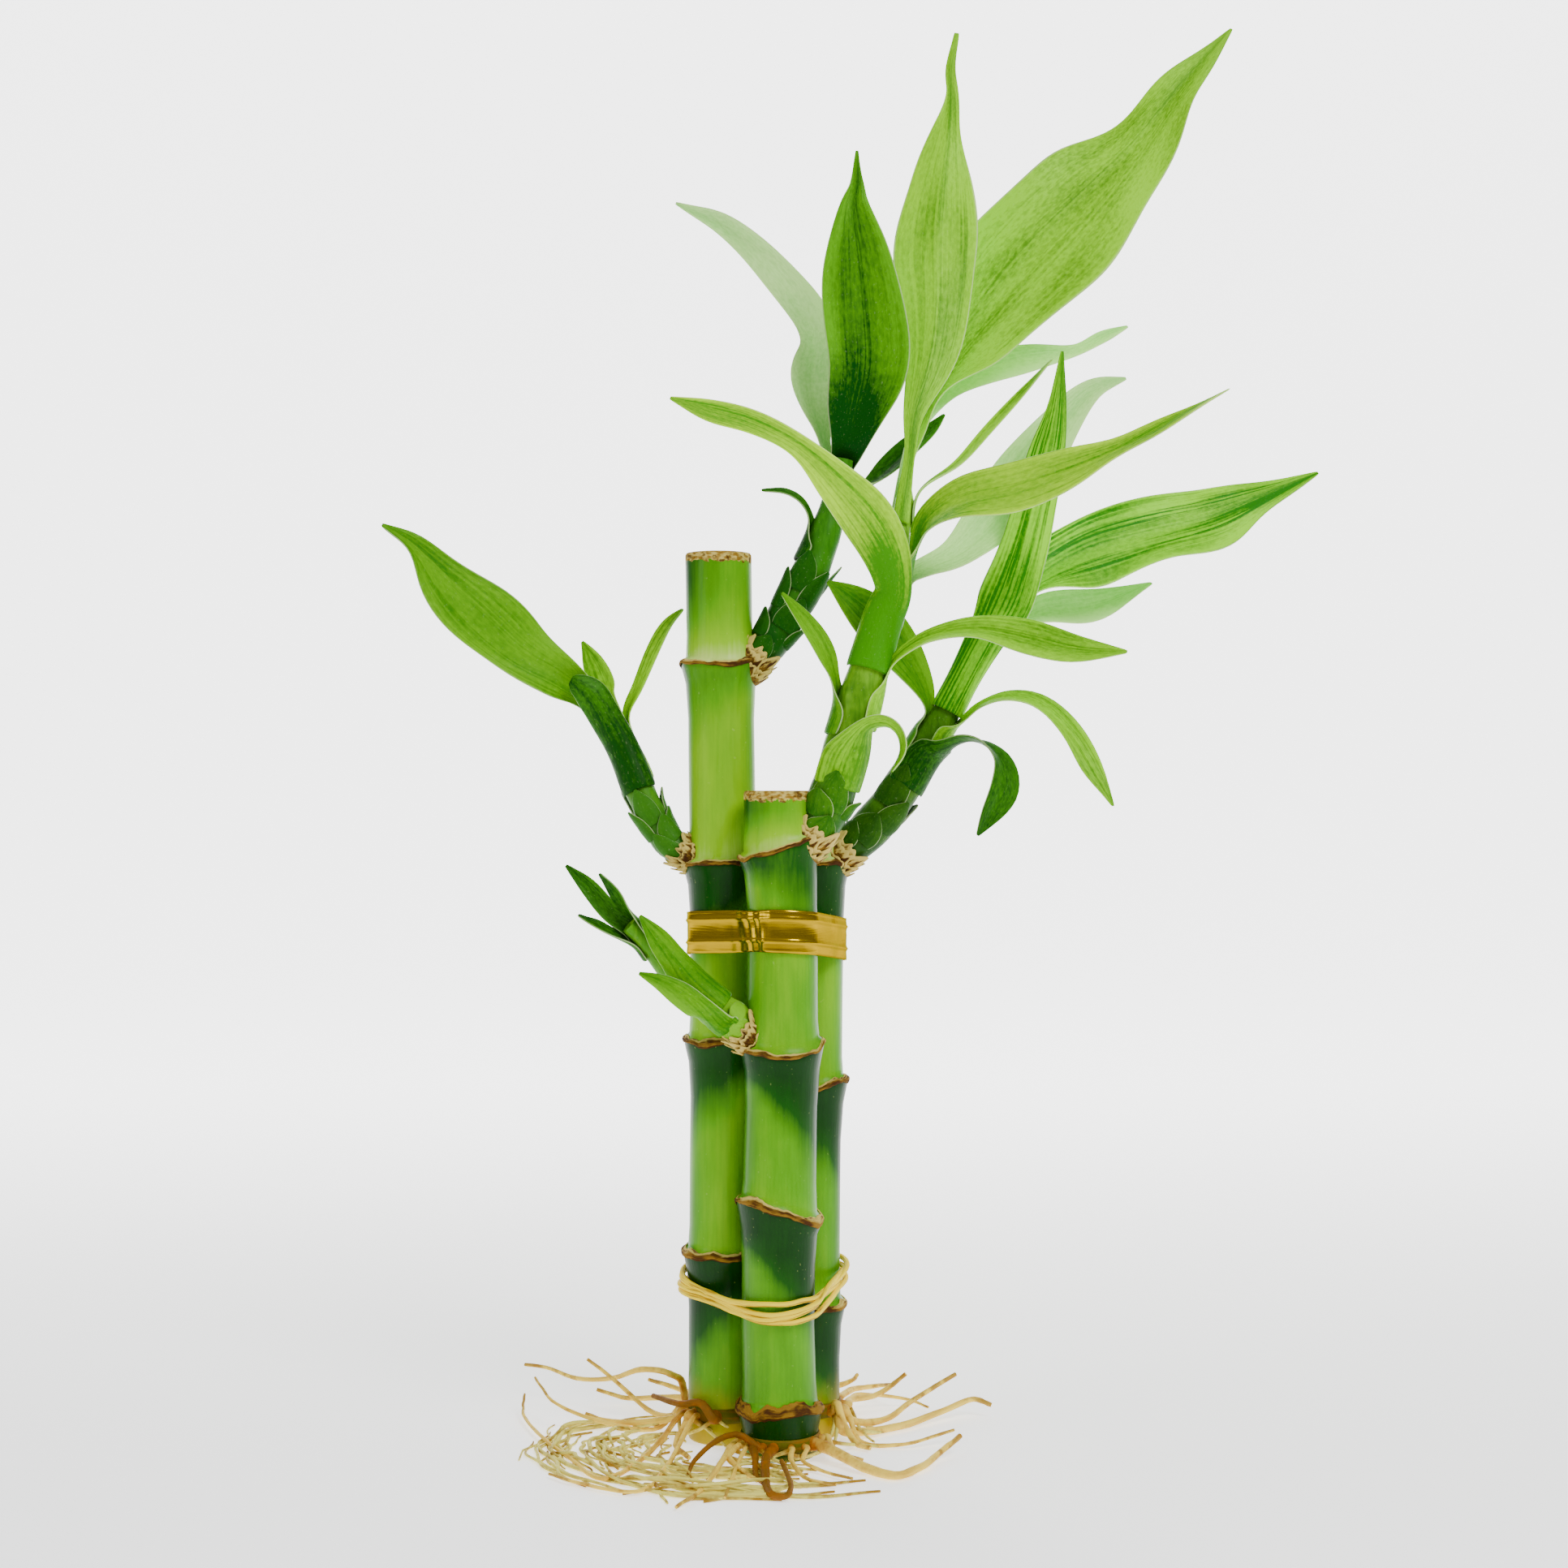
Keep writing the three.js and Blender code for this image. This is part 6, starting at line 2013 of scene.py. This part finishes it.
def root_hair(rng, radius):
    """One long fine root, lying in an arc round the feet."""
    reach = rng.uniform(*MAT_REACH)
    start = math.radians(rng.uniform(*MAT_SECTOR))
    sweep = math.radians(rng.uniform(*HAIR_SWEEP)) * rng.choice((-1, 1))
    most = STRAY_DRIFT if rng.random() < STRAY_SHARE else HAIR_DRIFT
    drift = rng.uniform(-most, most)
    rise = rng.uniform(0, HIGHEST_RISE) if rng.random() < RISING_SHARE else LYING_RISE
    seed = rng.uniform(0, 90)
    points = []
    for i in range(HAIR_STEPS + 1):
        share = i / HAIR_STEPS
        angle = start + sweep * (share - 0.5)
        wander = HAIR_WANDER * noise.noise(Vector((share * 3, seed, 0)))
        away = reach + drift * (share - 0.5) + wander
        slim = radius * mix(1.2, 0.6, abs(2 * share - 1))
        height = slim + GROUND_CLEARANCE + rise * math.sin(math.pi * share)
        x = clamp(MAT_CENTRE[0] + MAT_STRETCH[0] * away * math.cos(angle), *MAT_EDGES[0])
        y = clamp(MAT_CENTRE[1] + MAT_STRETCH[1] * away * math.sin(angle), *MAT_EDGES[1])
        points.append((Vector((x, y, height)), slim))
    return points


class BAMBOO_OT_roots(bpy.types.Operator):
    """Make the roots at the three feet, and the mat of fine ones"""

    bl_idname = "bamboo.roots"
    bl_label = "Roots"

    def execute(self, context):
        sizes = context.scene.bamboo_sizes
        colours = context.scene.trim_colours
        thickest = sizes.root_radius / MM
        foot, tip = colours.root_foot, colours.root_tip
        skin = root_skin("living_root_skin", foot, colours.root, tip, foot_end=0.6)
        burst = root_skin("root_crown_skin", foot, colours.root_crown, tip)
        brown = root_skin("old_root_skin", foot, colours.root_old, tip)
        fine = root_skin("fine_root_skin", colours.hair_old, colours.hair, colours.hair_old)
        rng = random.Random(7)
        for name, tuft in TUFTS.items():
            cane, crown, roots = CANES[name], tuft["crown"], tuft["seen_roots"]
            paths = [root_path(cane, crown, root, thickest, rng) for root in roots]
            rootlets = [
                side_root(rng.choice(paths), rng, thickest)
                for _ in range(ROOTLETS_PER_TUFT)
            ]
            ring = crown_ring(f"crown_{name}", cane, crown, rng)
            thicken(ring, CROWN_WALL * MM)
            settle(ring, [burst], "root")
            young = [path for path, root in zip(paths, roots) if not is_old(root)]
            aged = [path for path, root in zip(paths, roots) if is_old(root)]
            settle(strands(f"thick_roots_{name}", young, 4), [skin], "root", f"roots_{name}")
            if aged:
                settle(strands(f"old_roots_{name}", aged, 4), [brown], "root")
            settle(strands(f"rootlets_{name}", rootlets, 2), [fine], "root")
        radius = sizes.hair_radius / MM
        hairs = [root_hair(rng, radius * rng.uniform(0.7, 1.3)) for _ in range(sizes.hair_count)]
        settle(strands("root_mat", hairs, 2), [fine], "root")
        return {"FINISHED"}


# Stage

SENSOR_WIDTH = 36.0

# The floor in millimetres: from its near edge to where it bends, how long it is in all,
# the radius of its rise into the backdrop, and half its width
FLOOR_NEAR = -2400.0
FLOOR_BEND = 900.0
FLOOR_END = 2700.0
FLOOR_RISE = 1100.0
FLOOR_ASIDE = 2600

# Each lamp, with its size and its place in metres
LAMPS = {
    "key": (0.4, (0.44, -0.54, 0.82)),
    "fill": (0.3, (-0.75, -0.4, 0.35)),
    "back": (0.4, (-0.15, 0.6, 0.7)),
}
LAMP_TARGET = Vector((0.01, 0.0, 0.16))


def add_camera(context):
    """The photograph's view: level, square on to the front cane, its frame square."""
    deselect()
    eye = (EYE_ACROSS * MM, -VIEW_DISTANCE * MM, EYE_HEIGHT * MM)
    bpy.ops.object.camera_add(location=eye, rotation=(math.pi / 2, 0, 0))
    camera = context.active_object
    camera.name = "photo_camera"
    camera.data.sensor_fit = "HORIZONTAL"
    camera.data.sensor_width = SENSOR_WIDTH
    camera.data.lens = SENSOR_WIDTH * VIEW_DISTANCE / (VIEW_PIXELS * MM_PER_PIXEL)
    camera.data.clip_start = 0.01
    context.scene.camera = camera


def floor_paper(settings):
    """Matt white paper, which lights the leaves from behind as a lit backdrop does."""
    material, node = new_material("matt_white_paper")
    place = node("SeparateXYZ", [node("TexCoord").outputs["Object"]])
    # It glows behind the bundle only, which leaves the canes' sides their shade.
    glow = node("MapRange", [place.outputs["Y"], -0.24, -0.09, 0.0, 0.3 * settings.glow], **EASED)
    far = node("MapRange", [place.outputs["Y"], -0.05, 0.7, 0.0, 0.7 * settings.glow], **EASED)
    aside = node("Math", [place.outputs["X"]], operation="ABSOLUTE")
    behind = node("MapRange", [aside, 1.0, 1.9, 1.0, 0.0], **EASED)
    glow = node("Math", [glow, far], operation="ADD")
    glow = node("Math", [glow, behind], operation="MULTIPLY")
    shader = node("BsdfPrincipled", {
        "Base Color": settings.floor,
        "Roughness": 0.9,
        "Specular IOR Level": 0.1,
        "Emission Color": settings.floor,
        "Emission Strength": glow,
    })
    node("OutputMaterial", [shader])
    return material


def add_floor(settings):
    """A lit floor that runs back and curves up into the backdrop."""

    def place(across, along):
        x = mix(-FLOOR_ASIDE, FLOOR_ASIDE, across)
        back = mix(FLOOR_NEAR, FLOOR_END, along)
        if back < FLOOR_BEND:
            return Vector((x, back, 0))
        angle = (back - FLOOR_BEND) / FLOOR_RISE
        away = FLOOR_BEND + FLOOR_RISE * math.sin(angle)
        return Vector((x, away, FLOOR_RISE * (1 - math.cos(angle))))

    floor = laid_grid("studio_floor", 4, 80, place)
    for face in floor.data.polygons:
        face.use_smooth = True
    floor.data.materials.append(floor_paper(settings))


def add_air(context, settings):
    """Pale light from all round, brightest above."""
    world = bpy.data.worlds.new("studio_air")
    world.use_nodes = True
    world.node_tree.nodes.clear()
    node = functools.partial(add_node, world.node_tree)
    up = node("SeparateXYZ", [node("TexCoord").outputs["Generated"]]).outputs["Z"]
    low, high = 0.6 * settings.air, 1.4 * settings.air
    strength = node("MapRange", [up, -0.2, 0.6, low, high], **EASED)
    air = node("Background", {"Color": settings.floor, "Strength": strength})
    node("OutputWorld", [air])
    context.scene.world = world


def add_lamp(name, power, size, place):
    deselect()
    bpy.ops.object.light_add(type="AREA", location=place)
    lamp = bpy.context.active_object
    lamp.name = name
    lamp.data.energy = power
    lamp.data.size = size
    lamp.rotation_euler = (LAMP_TARGET - Vector(place)).to_track_quat("-Z", "Y").to_euler()


class BAMBOO_OT_studio(bpy.types.Operator):
    """Set the pale floor, the soft lamps and the camera"""

    bl_idname = "bamboo.studio"
    bl_label = "Studio"

    def execute(self, context):
        settings = context.scene.studio_settings
        add_camera(context)
        add_floor(settings)
        add_air(context, settings)
        for name, (size, place) in LAMPS.items():
            add_lamp(f"{name}_lamp", getattr(settings, f"{name}_power"), size, place)
        return {"FINISHED"}


# The add-on

OPERATORS = (
    BAMBOO_OT_canes,
    BAMBOO_OT_foil_band,
    BAMBOO_OT_raffia_tie,
    BAMBOO_OT_shoots,
    BAMBOO_OT_collars,
    BAMBOO_OT_leaves,
    BAMBOO_OT_roots,
    BAMBOO_OT_studio,
)

# Where each group of settings is kept on the scene
SETTINGS = {
    "bamboo_sizes": BambooSizes,
    "cane_colours": CaneColours,
    "stem_colours": StemColours,
    "leaf_colours": LeafColours,
    "trim_colours": TrimColours,
    "studio_settings": StudioSettings,
}


class BAMBOO_PT_panel(bpy.types.Panel):
    """The bundle's pieces and settings, in the 3D view's sidebar"""

    bl_label = "Lucky bamboo"
    bl_idname = "BAMBOO_PT_panel"
    bl_space_type = "VIEW_3D"
    bl_region_type = "UI"
    bl_category = "Bamboo"

    def draw(self, context):
        for operator in OPERATORS:
            self.layout.operator(operator.bl_idname)
        for name, group in SETTINGS.items():
            box = self.layout.box()
            box.label(text=name.replace("_", " "))
            for setting in group.__annotations__:
                box.prop(getattr(context.scene, name), setting)


CLASSES = (*SETTINGS.values(), *OPERATORS, BAMBOO_PT_panel)


def register():
    for item in CLASSES:
        bpy.utils.register_class(item)
    for name, group in SETTINGS.items():
        setattr(bpy.types.Scene, name, bpy.props.PointerProperty(type=group))


def unregister():
    for name in SETTINGS:
        delattr(bpy.types.Scene, name)
    for item in reversed(CLASSES):
        bpy.utils.unregister_class(item)


def main():
    register()
    for operator in OPERATORS:
        group, name = operator.bl_idname.split(".")
        getattr(getattr(bpy.ops, group), name)()


if __name__ == "__main__":
    main()
